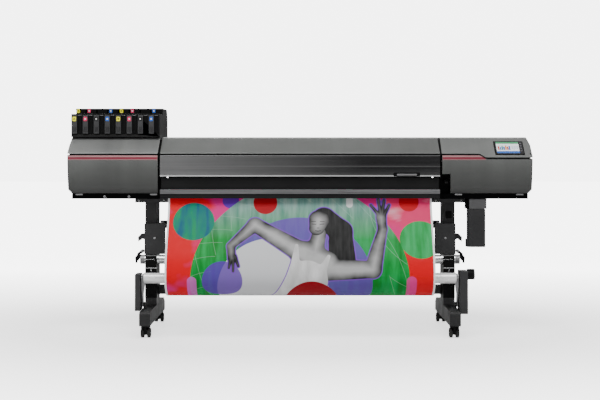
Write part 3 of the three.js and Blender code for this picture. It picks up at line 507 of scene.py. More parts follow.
# ---------------------------------------------------------------- housing
def band(name, finish, x0, x1, bottom, top, lift):
    """A thin strip on the front face from x0 to x1; bottom and top give its edges at x."""
    columns, rows, back = 40, 4, 0.4 * MM
    bm = bmesh.new()
    grid = {}
    for i in range(columns + 1):
        x = x0 + (x1 - x0) * i / columns
        for k in range(rows + 1):
            z = bottom(x) + (max(top(x), bottom(x) + 0.2 * MM) - bottom(x)) * k / rows
            grid[i, k, 0] = bm.verts.new((x, face_y(z) - lift, z))
            grid[i, k, 1] = bm.verts.new((x, face_y(z) + back, z))
    for i in range(columns):
        for k in range(rows):
            for side in (0, 1):
                bm.faces.new([grid[i + a, k + b, side] for a, b in ((0, 0), (1, 0), (1, 1), (0, 1))])
        for k in (0, rows):
            bm.faces.new([grid[i + a, k, s] for a, s in ((0, 0), (1, 0), (1, 1), (0, 1))])
    for k in range(rows):
        for i in (0, columns):
            bm.faces.new([grid[i, k + b, s] for b, s in ((0, 0), (1, 0), (1, 1), (0, 1))])
    return piece(object_from(bm, name, finish), "root")


def step_z(x):
    """The right-hand split line, dropping by a smooth step."""
    t = min(1.0, max(0.0, (x - STEP_END + STEP_LENGTH) / STEP_LENGTH))
    return SPLIT_Z - STEP_DROP * t * t * (3 - 2 * t)


def accents():
    """The red line under the split, between a broad and a fine pale edge, both painted highlights."""
    inner = END_LOW.x + 2 * MM
    for name, finish, low, high, shift in (
        # The pale upper and lower bands are painted highlights along the red line.
        ("upper", "accent_highlight", 13.5, 3.0, 0.42),
        ("line", "accent", 27.0, 13.5, 0.25),
        ("lower", "accent_highlight", 30.0, 27.0, 0.2),
    ):
        def bottom(x, drop=low):
            return SPLIT_Z - drop * MM

        def left_top(x, drop=high):
            return SPLIT_Z - drop * MM

        def right_top(x, drop=high):
            return min(SPLIT_Z - drop * MM, step_z(x) - 3 * MM)

        band("left_accent_" + name, finish, -END_HIGH.x + 3 * MM, -inner, bottom, left_top, 0.5 * MM)
        end = STEP_END - STEP_LENGTH * shift
        band("right_accent_" + name, finish, inner, end, bottom, right_top, 0.5 * MM)


def groove_shade_bands():
    """Painted shade: a dark band along the upper edge of each end cover, for the shadow in the groove at the
    split.
    """
    def left(x):
        return SPLIT_Z - 0.2 * MM

    def right(x):
        return step_z(x) - 0.2 * MM

    for name, ends, top in (("left_groove_shade", (-END_HIGH.x + 3 * MM, -END_LOW.x - 1 * MM), left),
                            ("right_groove_shade", (END_LOW.x + 1 * MM, END_HIGH.x - 3 * MM), right)):
        band(name, "black", *ends, lambda x, top=top: top(x) - 3 * MM, top, 0.5 * MM)


def plate(name, finish, low, high, bevel=0.0, body="root"):
    """A box-shaped panel between two corners with broken edges."""
    width, height = high[0] - low[0], high[2] - low[2]
    outline = [(0.0, 0.0), (width, 0.0), (width, height), (0.0, height)]
    matrix = facing_front(low[0], high[1], low[2])
    return prism(name, finish, outline, high[1] - low[1], matrix, bevel, body)


def seam_shade_strips():
    """Black strips behind the shadow lines, as painted shade, so that no seam shows through."""
    rear, front = BONNET_HIGH.y - 9 * MM, FACE_Y + 9 * MM
    low_z, high_z = SPLIT_Z - 34 * MM, SPLIT_Z + 14 * MM
    step = STEP_END - STEP_LENGTH
    outer, inner = END_HIGH.x - 10 * MM, END_LOW.x + 3 * MM
    plate("left_front_seam_shade", "black", (-outer, front, low_z), (-inner, front + 2 * MM, high_z))
    plate("right_front_seam_shade", "black", (step - 8 * MM, front, low_z),
          (outer, front + 2 * MM, SPLIT_Z - 12 * MM))
    plate("right_inner_seam_shade", "black", (inner, front + 28 * MM, low_z),
          (step + 40 * MM, front + 30 * MM, SPLIT_Z + 12 * MM))
    for side, name in ((-1, "left"), (1, "right")):
        left, right = sorted((side * outer, side * inner))
        plate(name + "_rear_gasket", "black", (left, rear, low_z), (right, rear + 2 * MM, high_z))
        left, right = sorted((side * (outer - 2 * MM), side * outer))
        plate(name + "_side_seam_shade", "black", (left, front + 1 * MM, low_z), (right, rear, high_z))
        seam_shade_fin(name, side)


def seam_shade_fin(name, side):
    """Painted shade: the black fin between an end cover and the bonnet, following their profile from inside.
    """
    inset, foot = 8 * MM, SPLIT_Z - 4 * MM
    front, back = BONNET_LOW.y + inset, BONNET_HIGH.y - inset
    top = BONNET_HIGH.z - inset
    lean = FACE_Y + 132 * MM
    outline = [(front, SPLIT_Z), (front, foot), (back, foot), (back, top),
               (lean + 10 * MM, top), (lean - 6 * MM, top - 8 * MM)]
    x = side * (BONNET_HIGH.x + 4 * MM)
    prism(name + "_seam_shade_fin", "black", outline, 6 * MM, facing_side(x, 0.0, 0.0, side))


def covers():
    paints = {"left_end_cover": "cover", "right_end_cover": "cover", "left_top_cover": "left_top",
              "right_top_cover": "right_top", "centre_top_cover": "bonnet"}
    for node, paint in paints.items():
        softened(node, paint, 2.5 * MM, 3)
    softened("rear_cover", "steel", 0.8 * MM)
    softened("base_frame", "tray", 1.5 * MM)
    softened("front_bar", "bar", 1.5 * MM)
    softened("front_dryer", "guard", 1.5 * MM)
    accents()
    groove_shade_bands()
    seam_shade_strips()
    curtains()
    bonnet_edge = BONNET_HIGH.z - 0.2 * MM
    plate("bonnet_rear_lip", "black", (-BONNET_HIGH.x + 0.03, 0.02, bonnet_edge - 2 * MM),
          (BONNET_HIGH.x - 0.03, 0.05, bonnet_edge), 0.4 * MM)
    cover_clips()
    rear_details()


def curtains():
    """Black sheets as painted shade: behind the print gap, and behind the seam over the window."""
    apron = box("rear_apron")[1].y
    plate("print_gap_shade_sheet", "black", (-MOUTH_HALF - 2 * MM, apron + 4 * MM, PLATEN_TOP + 8 * MM),
          (MOUTH_HALF + 2 * MM, apron + 6 * MM, box("rear_cover")[0].z + 20 * MM))
    plate("print_gap_guard", "guard", (-MOUTH_HALF, FACE_Y + 15 * MM, PLATEN_TOP - 13 * MM),
          (MOUTH_HALF, FACE_Y + 18 * MM, PLATEN_TOP + 58 * MM), 1 * MM)
    # Painted shade: a black sheet at the back of the lever notch.
    plate("lever_notch_back", "black", (END_LOW.x + 1.5 * MM, -0.138, TRAY_Z + 1 * MM),
          (END_LOW.x + 75 * MM, -0.136, TRAY_Z + 128 * MM))
    plate("window_seam_shade_sheet", "black", (-MOUTH_HALF, FACE_Y + 8 * MM, SPLIT_Z - 14 * MM),
          (MOUTH_HALF, FACE_Y + 9 * MM, SPLIT_Z + 14 * MM))


def rear_details():
    """Vents, screws, the mains inlet with its switch and a data socket on the back."""
    back = BONNET_HIGH.y - 0.2 * MM
    for side, group in (("left", -0.52), ("right", 0.52)):
        # The vent slots are black strips: painted shade in the openings.
        for i in range(9):
            prism(f"rear_vent_{side}_{i + 1}", "black", rounded(150 * MM, 4.5 * MM, 2.2 * MM, 4), 0.8 * MM,
                  facing_back(group, back, 0.985 + 0.010 * i), 0.2 * MM)
    for i, x in enumerate((-1.36, -0.90, -0.82, -0.28, 0.28, 0.82, 0.90, 1.36)):
        for k, z in enumerate((0.965, 1.074) if abs(x) < 0.85 else (0.905, 1.05)):
            prism(f"rear_screw_{i + 1}_{k + 1}", "bright", circle(4.2 * MM, 18), 1.6 * MM,
                  facing_back(x, back, z), 0.5 * MM)
    level, inlet = 0.93, 1.224
    for name, finish, x, z, size, radius, depth, bevel, slot in (
        ("inlet_frame", "black", 1.24, level, (62, 34), 4, 3, 1, "black"),
        ("inlet_well", "frame", inlet, level, (26, 22), 4, 3.4, 0.4, "black"),
        ("mains_switch", "tower", 1.256, level, (18, 24), 3, 5, 1.5, "black"),
        ("data_socket", "bright", 1.16, level, (18, 15), 1.5, 2, 0.6, "alloy"),
        ("data_socket_well", "black", 1.16, level - 1 * MM, (13, 10), 1, 2.3, 0.2, "black"),
    ):
        prism(name, finish, rounded(size[0] * MM, size[1] * MM, radius * MM), depth * MM,
              facing_back(x, back, z), bevel * MM)
    for i, (u, v) in enumerate(((-6, 2), (0, -4), (6, 2))):
        prism(f"inlet_pin_{i + 1}", "bright", rounded(2 * MM, 5 * MM, 0.4 * MM, 2), 4 * MM,
              facing_back(inlet + u * MM, back, level + v * MM))


def cover_clips():
    """Bright quarter-turn clips under the covers and two screws in the left pan."""
    for i, x in enumerate((-1.339, -0.888, 0.961, 1.333)):
        outline = rounded(44 * MM, 9 * MM, 4 * MM)
        prism(f"cover_clip_{i + 1}", "arm", outline, 3 * MM,
              facing_front(x, FACE_Y + 24.5 * MM, TRAY_Z - 6.5 * MM), 1 * MM)
    for i, x in enumerate((-1.185, -1.037)):
        prism(f"pan_screw_{i + 1}", "arm", circle(8 * MM), 2.5 * MM,
              facing_front(x, FACE_Y + 24 * MM, TRAY_Z - 19 * MM), 1 * MM)


# ---------------------------------------------------------------- window and panel
def window():
    softened("front_window", "window", 1.0 * MM)
    low, _ = box("front_window")
    for name, finish, u0, u1, v0, v1, depth in (
        ("window_bottom_trim", "trim", -842, 842, -1, 3, 2.2),
        # The handle recess is a black plate: painted shade in the hollow behind the handle.
        ("window_handle_recess", "black", 565, 725, 2, 24, 4),
        ("window_handle", "arm", 585, 705, 6, 16, 12),
    ):
        outline = rounded((u1 - u0) * MM, (v1 - v0) * MM, min(4.0, (v1 - v0) * 0.45) * MM)
        matrix = facing_front((u0 + u1) / 2 * MM, low.y + 5 * MM, low.z + (v0 + v1) / 2 * MM)
        prism(name, finish, outline, depth * MM, matrix, 0.8 * MM, "front_window")


def panel_frame():
    """The control panel's own frame: origin mid-face, x to the right, y up the face, z out of it."""
    mesh = NODES["control_panel"].data
    faces = [f for f in mesh.polygons if f.normal.y < -0.3 and f.normal.z > 0.3]
    normal = faces[0].normal.copy()
    corners = {i for f in faces for i in f.vertices}
    middle = sum((mesh.vertices[i].co for i in corners), Vector()) / len(corners)
    right = Vector((1.0, 0.0, 0.0))
    up = normal.cross(right)
    made = Matrix((right, up, normal)).transposed().to_4x4()
    made.translation = middle
    return made


def control_panel():
    """The bezel, its glass, and a generic page of bars, cards and side keys (millimetres on its face)."""
    softened("control_panel", "black", 4 * MM, 3)
    tiles = [
        ("glass", "glass", -84, 84, -56, 56, 0.0, 1.0, 5),
        ("page", "page", -77, 60, -50, 50, 1.0, 0.4, 1),
        ("header", "ui_green", -77, 60, 34, 50, 1.4, 0.2, 1),
        ("footer", "ui_blue", -77, 60, -50, -32, 1.4, 0.2, 1),
    ]
    bars = (("ui_red", 34), ("ui_blue", 26), ("ui_teal", 38), ("ui_blue", 30), ("ui_orange", 40),
            ("ui_red", 30), ("ui_blue", 36))
    for i, (finish, height) in enumerate(bars):
        tiles.append((f"bar_{i + 1}", finish, -68 + 11 * i, -59.5 + 11 * i, -22, -22 + height, 1.4, 0.2, 1))
    for i in range(3):
        tiles.append((f"card_{i + 1}", "ui_pale", 14 + 15 * i, 26 + 15 * i, -14, 14, 1.4, 0.2, 1))
    for i in range(4):
        tiles.append((f"key_{i + 1}", "ui_grey", 66, 78, 32 - 22 * i, 44 - 22 * i, 1.0, 0.3, 3))
    base = panel_frame()
    for name, finish, u0, u1, v0, v1, lift, thick, radius in tiles:
        outline = rounded((u1 - u0) * MM, (v1 - v0) * MM, radius * MM, 3)
        place = base @ Matrix.Translation(((u0 + u1) / 2 * MM, (v0 + v1) / 2 * MM, lift * MM))
        prism("panel_" + name, finish, outline, thick * MM, place)


# ---------------------------------------------------------------- ink tower
INKS = ("yellow", "magenta", "black", "cyan")


def tag(name, ink, x, y, z, width, height, body):
    """A coloured tag with a dot: pale on the dark inks, dark on yellow."""
    finish = "tower" if ink == "black" else ink
    dot = "black" if ink == "yellow" else "white"
    prism(name, finish, rounded(width, height, 5 * MM), 1.6 * MM, facing_front(x, y, z), 0.6 * MM, body)
    prism(name + "_dot", dot, circle(width * 0.22, 20), 0.5 * MM, facing_front(x, y - 1.6 * MM, z), body=body)


def cartridge(node, ink):
    softened(node, "black", 1.2 * MM)
    low, high = box(node)
    body = BODY_OF[node]
    width = 32 * MM
    middle = low.x + width / 2
    height = high.z - low.z - 5 * MM
    prism(node + "_grip", "strip", rounded(width - 1 * MM, height, 3 * MM), 2 * MM,
          facing_front(middle, low.y + 0.5 * MM, low.z + 3 * MM + height / 2), 0.8 * MM, body)
    for i in range(5):
        prism(f"{node}_rib_{i + 1}", "tower", rounded(width - 9 * MM, 2.4 * MM, 1 * MM, 3), 1.4 * MM,
              facing_front(middle, low.y - 1.2 * MM, low.z + (14 + 7 * i) * MM), 0.4 * MM, body)
    tag(node + "_tag", ink, middle - 1 * MM, low.y - 1.2 * MM, high.z - 26 * MM, 22 * MM, 27 * MM, body)
    plate(node + "_lip", "arm", (low.x + width + 2 * MM, low.y + 7.5 * MM, high.z - 5 * MM),
          (high.x - 1 * MM, low.y + 10 * MM, high.z - 2.2 * MM), 0.6 * MM, body)


def ink_tower():
    softened("ink_tower", "tower", 3 * MM, 3)
    softened("rear_cartridge_row", "black", 1.5 * MM)
    nodes = sorted(n for n in NODES if n.startswith("cartridge_"))
    row = box("rear_cartridge_row")
    plate("rear_row_rail", "black", (row[0].x, row[0].y + 0.5 * MM, row[1].z - 9 * MM),
          (row[1].x, row[1].y - 1 * MM, row[1].z - 0.3 * MM), 1 * MM)
    for i, node in enumerate(nodes):
        ink = INKS[i % 4]
        cartridge(node, ink)
        x = box(node)[0].x + 14 * MM
        if ink == "black":
            continue
        tag(f"rear_tag_{i + 1}", ink, x, row[0].y - 0.2 * MM, row[1].z - 14 * MM, 20 * MM, 24 * MM, "root")
    tower_details()


def tower_details():
    low, high = box("ink_tower")
    # The vents are black strips: painted shade in the openings.
    for i in range(6):
        prism(f"tower_vent_{i + 1}", "black", rounded(90 * MM, 5 * MM, 2.4 * MM), 1.2 * MM,
              facing_side(high.x - 0.2 * MM, high.y - 110 * MM, low.z + (40 + 14 * i) * MM), 0.3 * MM)
    plate("tower_rear_panel", "steel", (low.x + 0.03, high.y - 1 * MM, low.z + 0.015),
          (high.x - 0.03, high.y + 1.2 * MM, low.z + 0.115), 0.6 * MM)


# ---------------------------------------------------------------- mechanism behind the window
def mechanism():
    for node, finish, edge, segments in (
        ("platen", "bar", 1, 2),
        ("rear_apron", "steel", 2, 2),
        ("pinch_roller_bar", "frame", 1, 2),
        ("capping_station", "frame", 1.5, 2),
        ("guide_rail", "alloy", 1, 2),
        ("carriage_belt", "rubber", 0.5, 2),
        ("print_carriage", "black", 3, 3),
        ("cutter_carriage", "black", 3, 3),
        ("blade_holder", "bright", 1, 2),
        ("loading_lever", "black", 3, 3),
        ("drive_pulley", "alloy", 0.4, 2),
        ("idler_pulley", "alloy", 0.4, 2),
    ):
        softened(node, finish, edge * MM, segments)
    low, high = box("grit_roller")
    profile = ring_profile(low.x, high.x, 2 * MM, (high.z - low.z) / 2, 1 * MM)
    turned("grit_roller_fine", "bright", profile, *axle_of("grit_roller"), body="grit_roller",
           stands_for=("grit_roller",))


# ---------------------------------------------------------------- rolls and bars
ARM_PIVOT = (-0.220, 0.185)


def wound_ends(x0, x1, inner, outer, pitch=3 * MM, step=0.35 * MM):
    """The section of a wound roll, with the slight ridges its turns leave at both ends."""
    count = int((outer - inner) / pitch)
    radii = [inner + (outer - inner) * i / count for i in range(count + 1)]
    left = [(x0 + step * (i % 2), r) for i, r in enumerate(radii)]
    right = [(x1 - step * (i % 2), r) for i, r in reversed(list(enumerate(radii)))]
    return left + right


def cap_profile(x0, x1, radius, side):
    """A turned end cap: flat rim, dished middle and a small boss."""
    face, back = (x1, x0) if side > 0 else (x0, x1)
    inward = -side
    return [
        (back, 1 * MM),
        (back, radius),
        (face + inward * 1.5 * MM, radius),
        (face, radius - 1.5 * MM),
        (face, radius * 0.72),
        (face + inward * 3 * MM, radius * 0.66),
        (face + inward * 3 * MM, radius * 0.34),
        (face, radius * 0.30),
        (face, 1 * MM),
    ]


def take_up():
    _, high = box("takeup_shaft")
    node, line = "takeup_shaft", axle_of("takeup_shaft")
    shaft, cap = 28 * MM, high.x - 26 * MM
    roll = wound_ends(-MEDIA_HALF, MEDIA_HALF, 29 * MM, 44 * MM)
    turned("takeup_roll", "vinyl", roll, *line, 96, node, stands_for=(node,))
    turned("takeup_core", "alloy", ring_profile(-cap, cap, 26 * MM, shaft, 1 * MM), *line, 72, node)
    for name, side in (("left", -1), ("right", 1)):
        inner, outer = sorted((side * cap, side * high.x))
        turned(f"takeup_{name}_cap", "arm", cap_profile(inner, outer, shaft, side), *line, 48, node)
        edges = sorted((side * 0.862, side * 0.874))
        collar = ring_profile(*edges, 28.2 * MM, 33 * MM, 1 * MM)
        turned(f"takeup_{name}_collar", "bright", collar, *line, 48, node)


def tension():
    low, high = box("tension_bar")
    node, line = "tension_bar", axle_of("tension_bar")
    end = high.x - 4 * MM
    tube = ring_profile(-end, end, 28 * MM, (high.z - low.z) / 2, 1.5 * MM)
    turned("tension_tube", "tube", tube, *line, 96, node, stands_for=(node,))
    for name, side in (("left", -1), ("right", 1)):
        ends = sorted((side * end, side * high.x))
        turned(f"tension_{name}_cap", "arm", ring_profile(*ends, 1 * MM, 30 * MM, 1.5 * MM), *line, 48, node)
        softened(name + "_tension_arm", "arm", 1.2 * MM)
        arm_low, arm_high = box(name + "_tension_arm")
        outer = arm_high.x if side > 0 else arm_low.x
        flange(name, side, abs(outer), arm_low, arm_high)
        for end_name, place, radius in (("pivot", ARM_PIVOT, 7), ("tube", line, 6)):
            turned(f"{name}_arm_{end_name}_bolt", "bright", bolt(side, radius * MM), *place, 6, node, x=outer)


def flange(name, side, edge, low, high):
    """The arm's folded front edge, broad at the tube and tapering towards the pivot."""
    top, foot = high.z - 6 * MM, low.z + 52 * MM
    outline = [(side * u, z) for u, z in ((edge, foot), (edge, top), (edge - 24 * MM, top),
                                          (edge - 24 * MM, top - 44 * MM), (edge - 9 * MM, foot))]
    lean = 34 * MM / (high.z - low.z)
    bm = bmesh.new()
    front, back = ([bm.verts.new((u, low.y + depth + lean * (top - z), z)) for u, z in outline]
                   for depth in (0.0, 3 * MM))
    bm.faces.new(front)
    bm.faces.new(back[::-1])
    for i in range(len(outline)):
        j = (i + 1) % len(outline)
        bm.faces.new((front[i], front[j], back[j], back[i]))
    obj = object_from(bm, name + "_arm_flange", "arm")
    soften(obj, 0.8 * MM)
    piece(obj, "tension_bar")


def bolt(side, radius, height=1.6 * MM):
    """The section of a screw head standing out to one side."""
    return [(-side * 0.4 * MM, 0.5 * MM), (-side * 0.4 * MM, radius), (side * height * 0.7, radius),
            (side * height, radius * 0.8), (side * height, 0.5 * MM)]


def supply():
    low, high = box("supply_roll")
    node, line = "supply_roll", axle_of("supply_roll")
    roll = wound_ends(-MEDIA_HALF, MEDIA_HALF, 40 * MM, 82 * MM)
    turned("supply_media", "vinyl", roll, *line, 128, node, "supply", (node,))
    shaft = ring_profile(low.x, high.x, 12 * MM, 25 * MM, 2 * MM)
    turned("supply_shaft", "black", shaft, *line, 48, node, "supply")
    rim = (high.z - low.z) / 2 / MM
    section = [(1, 26), (1, rim - 2), (3, rim), (13, rim), (15, rim - 2), (15, rim - 8), (10, rim - 12),
               (10, 48), (15, 44), (23, 40), (23, 26)]
    for name, side in (("left", -1), ("right", 1)):
        profile = [(side * (MEDIA_HALF + u * MM), r * MM) for u, r in section]
        turned(f"supply_{name}_flange", "black", profile, *line, 96, node, "supply")


# ---------------------------------------------------------------- stand
def castors():
    for side in ("left", "right"):
        for end in ("front", "rear"):
            castor(f"{side}_{end}_castor")


def castor(name):
    softened(name + "_fork", "black", 2 * MM, 3)
    node = name + "_wheels"
    low, high = box(node)
    x, line = (low.x + high.x) / 2, axle_of(node)
    outer = (high.z - low.z) / 2
    tread = [(9, 20), (9, 26), (10.5, 28.8), (13, 30), (25, 30), (27.5, 28.8), (29, 26), (29, 20)]
    hub = [(10.5, 4), (10.5, 19.9), (27.5, 19.9), (28, 18), (25.5, 16), (25, 9), (28.4, 7), (28.4, 4)]
    for index, side in enumerate((-1, 1)):
        for kind, section, finish in (("tread", tread, "rubber"), ("hub", hub, "black")):
            profile = [(side * u * MM, r / 30 * outer) for u, r in section]
            replaced = (node,) if kind == "tread" and index == 0 else ()
            turned(f"{node}_{kind}_{index + 1}", finish, profile, *line, 56, node, "rubber", replaced, x)
    axle = ring_profile(-28.9 * MM, 28.9 * MM, 0.4 * MM, 3.9 * MM, 0.6 * MM)
    turned(node + "_axle", "bright", axle, *line, 24, node, "rubber", x=x)
    if "front" in name:
        brake(name, x, high.y)


def brake(name, x, rear):
    """The foot pedal on a front castor, behind and above the twin wheels."""
    points = [(0, 0), (16 * MM, 0), (20 * MM, 6 * MM), (18 * MM, 8 * MM), (0, 5 * MM)]
    prism(name + "_pedal", "arm", points, 24 * MM, facing_side(x - 12 * MM, rear - 6 * MM, 0.044), 1 * MM,
          name + "_fork")


def stand():
    for node in ("left_leg", "right_leg", "stretcher", "left_sensor_box", "right_drive_box"):
        softened(node, "steel", 1.5 * MM)
    for side in ("left", "right"):
        softened(side + "_foot", "foot", 1.5 * MM)
        softened(side + "_takeup_cradle", "black", 2 * MM, 3)
        softened(side + "_shaft_latch", "steel", 2 * MM)
    castors()
    stand_screws()
    posts()
    hooks()
    drive_knob()


def hooks():
    """The thick hooked plates of the upper brackets and of the shaft latches."""
    upper = ((0.957, 0.608), (0.981, 0.604), (1.002, 0.583), (1.000, 0.554), (0.990, 0.562), (0.981, 0.575),
             (0.957, 0.566))
    latch = ((0.961, 0.508), (0.973, 0.510), (1.012, 0.462), (1.009, 0.428), (0.997, 0.428), (0.995, 0.455),
             (0.982, 0.486), (0.962, 0.491))
    for name, side in (("left", -1), ("right", 1)):
        body = name + "_shaft_latch"
        for kind, finish, outline, back, depth, rides in (("bracket", "steel", upper, -0.062, 10, "root"),
                                                          ("latch", "black", latch, -0.1206, 8, body)):
            points = [(side * x, z) for x, z in outline]
            prism(f"{name}_{kind}_hook", finish, points, depth * MM, facing_front(0.0, back, 0.0), 2 * MM,
                  rides)
        prism(name + "_latch_pin", "bright", circle(4.5 * MM, 20), 2.5 * MM,
              facing_front(side * 0.968, -0.1283, 0.499), 0.8 * MM, body)
        # The hole is a black disc: painted shade.
        prism(name + "_latch_hole", "black", circle(5 * MM, 20), 0.3 * MM,
              facing_front(side * 1.001, -0.1284, 0.452), 0.0, body)


def posts():
    """Black sleeves round the lower posts, and the cradle's bright rails and bolts."""
    for name, side in (("left", -1), ("right", 1)):
        low, high = box(name + "_takeup_cradle")
        foot = box(name + "_foot")[1].z
        x0, x1 = sorted((side * 0.8835, side * 0.9565))
        plate(name + "_post_sleeve", "black", (x0, -0.0815, foot + 8 * MM), (x1, 0.0815, high.z), 2 * MM)
        for i, z in enumerate((low.z + 22 * MM, high.z - 22 * MM)):
            plate(f"{name}_cradle_rail_{i + 1}", "bright", (low.x - 1.5 * MM, low.y - 1.8 * MM, z),
                  (high.x + (1.5 - 14 * i) * MM, low.y + 1 * MM, z + (4 - 2 * i) * MM), 0.5 * MM)
        screw(name + "_cradle_screw", (low.x + high.x) / 2, low.y, low.z + 10 * MM, 4.5 * MM)


def drive_knob():
    """The black cap over the take-up motor, stepped in at its rim."""
    low, high = box("right_drive_box")
    section = [(1, 1), (1, 32.4), (36, 32.4), (42, 29), (44.4, 24), (44.4, 12), (43, 10), (43, 1)]
    profile = [(u * MM, r * MM) for u, r in section]
    y, z = low.y + 50 * MM, high.z - 32 * MM
    turned("drive_knob", "black", profile, y, z, slot="black", x=high.x - 44 * MM)


def stand_screws():
    """The screw heads on the leg shields and head plates, and the plate on the right post."""
    for name, side in (("left", -1), ("right", 1)):
        screw(f"{name}_shield_screw", side * 0.893, -0.120, 0.580, 6 * MM)
        for i, x in enumerate((0.830, 0.986)):
            screw(f"{name}_head_screw_{i + 1}", side * x, -0.150, 0.812, 5 * MM)
    prism("right_post_badge", "black", rounded(38 * MM, 46 * MM, 4 * MM), 2 * MM,
          facing_front(0.917, -0.080, 0.722), 0.8 * MM)


def screw(name, x, y, z, radius):
    """A crosshead screw whose head faces the operator."""
    prism(name, "bright", circle(radius), 1.8 * MM, facing_front(x, y, z), 0.8 * MM)
    width, length = radius / 6, radius * 2 / 3
    # The cross recess is two thin black plates: painted shade in the slots.
    for i, turn in enumerate((45, 135)):
        rotation = Matrix.Rotation(math.radians(turn), 2)
        corners = ((-width, -length), (width, -length), (width, length), (-width, length))
        outline = [tuple(rotation @ Vector(corner)) for corner in corners]
        place = facing_front(x, y - (1.7 + 0.1 * i) * MM, z)
        prism(f"{name}_slot_{i + 1}", "black", outline, 0.3 * MM, place)


def bottle():
    """The waste bottle and its grey holder."""
    softened("waste_bottle", "bottle", 5 * MM, 4)
    low, high = box("waste_bottle")
    left, right = high.x - 99 * MM, high.x + 5 * MM
    base, top = high.z + 1 * MM, BODY_BOTTOM - 0.5 * MM
    shell = 1.5 * MM
    plate("bottle_holder_front", "holder", (left, low.y - shell, base),
          (right, low.y - 0.1 * MM, top), 0.6 * MM)
    plate("bottle_holder_side", "holder", (right - 1 * MM, low.y, base),
          (right + shell, high.y, top), 0.6 * MM)
    for i in range(4):
        place = facing_front((left + right) / 2, low.y + 0.4 * MM, low.z + (60 + 40 * i) * MM)
        rib = rounded(70 * MM, 3 * MM, 1.4 * MM, 3)
        prism(f"bottle_rib_{i + 1}", "bottle", rib, 1.2 * MM, place, 0.4 * MM, "waste_bottle")


# ---------------------------------------------------------------- media web
SHEET_HALF_THICKNESS = 0.4 * MM


def web_knots():
    """The web's guide points (y, z): supply roll, apron, platen, the hanging loop and the take-up."""
    supply_y, supply_z = axle_of("supply_roll")
    front, rear = box("platen")[0].y, box("rear_apron")[1].y + 2 * MM
    rest = PLATEN_TOP + 1.3 * MM
    over = [
        (supply_y - 0.086, supply_z + 6 * MM),
        (rear + 12 * MM, PLATEN_TOP - 70 * MM),
        (rear + 3 * MM, PLATEN_TOP - 20 * MM),
        (rear - 10 * MM, PLATEN_TOP - 1 * MM),
        (rear - 34 * MM, rest),
        (0.0, rest),
        (front + 4 * MM, rest),
        (front - 12 * MM, PLATEN_TOP - 5 * MM),
    ]
    bar_low, bar_high = box("tension_bar")
    bar_y, bar_z = axle_of("tension_bar")
    loop_y, loop_z = bar_y + 12 * MM, bar_z + 27 * MM
    reach = loop_y - box("media_web")[0].y - 0.8 * MM
    drop = (bar_high.z - bar_low.z) / 2 + 0.1
    start_y, start_z = front - 24 * MM, PLATEN_TOP - 28 * MM
    fall = []
    for i in range(6):
        t = i / 6
        swing = t * t * (3 - 2 * t)
        fall.append((start_y + (loop_y - reach - start_y) * swing, start_z + (loop_z - start_z) * t))
    loop = []
    for i in range(9):
        angle = math.pi * (1 + i / 8)
        loop.append((loop_y + reach * math.cos(angle), loop_z + drop * math.sin(angle)))
    centre_y, centre_z = axle_of("takeup_shaft")
    wind = [(centre_y + 48 * MM, centre_z + 4 * MM)]
    return [Vector(p) for p in over + fall + loop + wind]


def centripetal(knots, steps=14):
    """A smooth line through the knots (centripetal Catmull-Rom)."""
    padded = [2 * knots[0] - knots[1], *knots, 2 * knots[-1] - knots[-2]]
    line = []
    for p0, p1, p2, p3 in zip(padded, padded[1:], padded[2:], padded[3:]):
        t1 = (p1 - p0).length ** 0.5
        t2 = t1 + (p2 - p1).length ** 0.5
        t3 = t2 + (p3 - p2).length ** 0.5
        for i in range(steps):
            t = t1 + (t2 - t1) * i / steps
            a1 = p0 * (t1 - t) / t1 + p1 * t / t1
            a2 = p1 * (t2 - t) / (t2 - t1) + p2 * (t - t1) / (t2 - t1)
            a3 = p2 * (t3 - t) / (t3 - t2) + p3 * (t - t2) / (t3 - t2)
            b1 = a1 * (t2 - t) / t2 + a2 * t / t2
            b2 = a2 * (t3 - t) / (t3 - t1) + a3 * (t - t1) / (t3 - t1)
            line.append(b1 * (t2 - t) / (t2 - t1) + b2 * (t - t1) / (t2 - t1))
    line.append(padded[-2])
    return line


def media_web():
    """The vinyl as one thin closed sheet; UVs hold metres across and metres below the platen's edge."""
    line = centripetal(web_knots())
    lengths = [0.0]
    for a, b in zip(line, line[1:]):
        lengths.append(lengths[-1] + (b - a).length)
    front = box("platen")[0].y
    origin = next(s for p, s in zip(line, lengths) if p.x < front - 12 * MM)
    columns = 48
    bm = bmesh.new()
    layer = bm.loops.layers.uv.new("web")
    grid, place = {}, {}
    for k, point in enumerate(line):
        along = (line[min(k + 1, len(line) - 1)] - line[max(k - 1, 0)]).normalized()
        outward = Vector((-along.y, along.x)) * SHEET_HALF_THICKNESS
        for i in range(columns + 1):
            x = -MEDIA_HALF + 2 * MEDIA_HALF * i / columns
            for side in (1, -1):
                vert = bm.verts.new((x, point.x + side * outward.x, point.y + side * outward.y))
                grid[i, k, side] = vert
                place[vert] = (x, lengths[k] - origin)
    last = len(line) - 1
    for side in (1, -1):
        for i in range(columns):
            for k in range(last):
                face = bm.faces.new([grid[i + a, k + b, side] for a, b in ((0, 0), (1, 0), (1, 1), (0, 1))])
                face.material_index = 1 if side < 0 else 0
    for i in range(columns):
        for k in (0, last):
            bm.faces.new([grid[i + a, k, side] for a, side in ((0, 1), (1, 1), (1, -1), (0, -1))])
    for k in range(last):
        for i in (0, columns):
            bm.faces.new([grid[i, k + b, side] for b, side in ((0, 1), (1, 1), (1, -1), (0, -1))])
    for face in bm.faces:
        for loop in face.loops:
            loop[layer].uv = place[loop.vert]
    lowest = min(range(len(line)), key=lambda k: line[k].y)
    obj = object_from(bm, "printed_vinyl", "vinyl")
    obj.data.materials.append(artwork(lengths[lowest] - origin - 16 * MM))
    piece(obj, "root", ("media_web",))


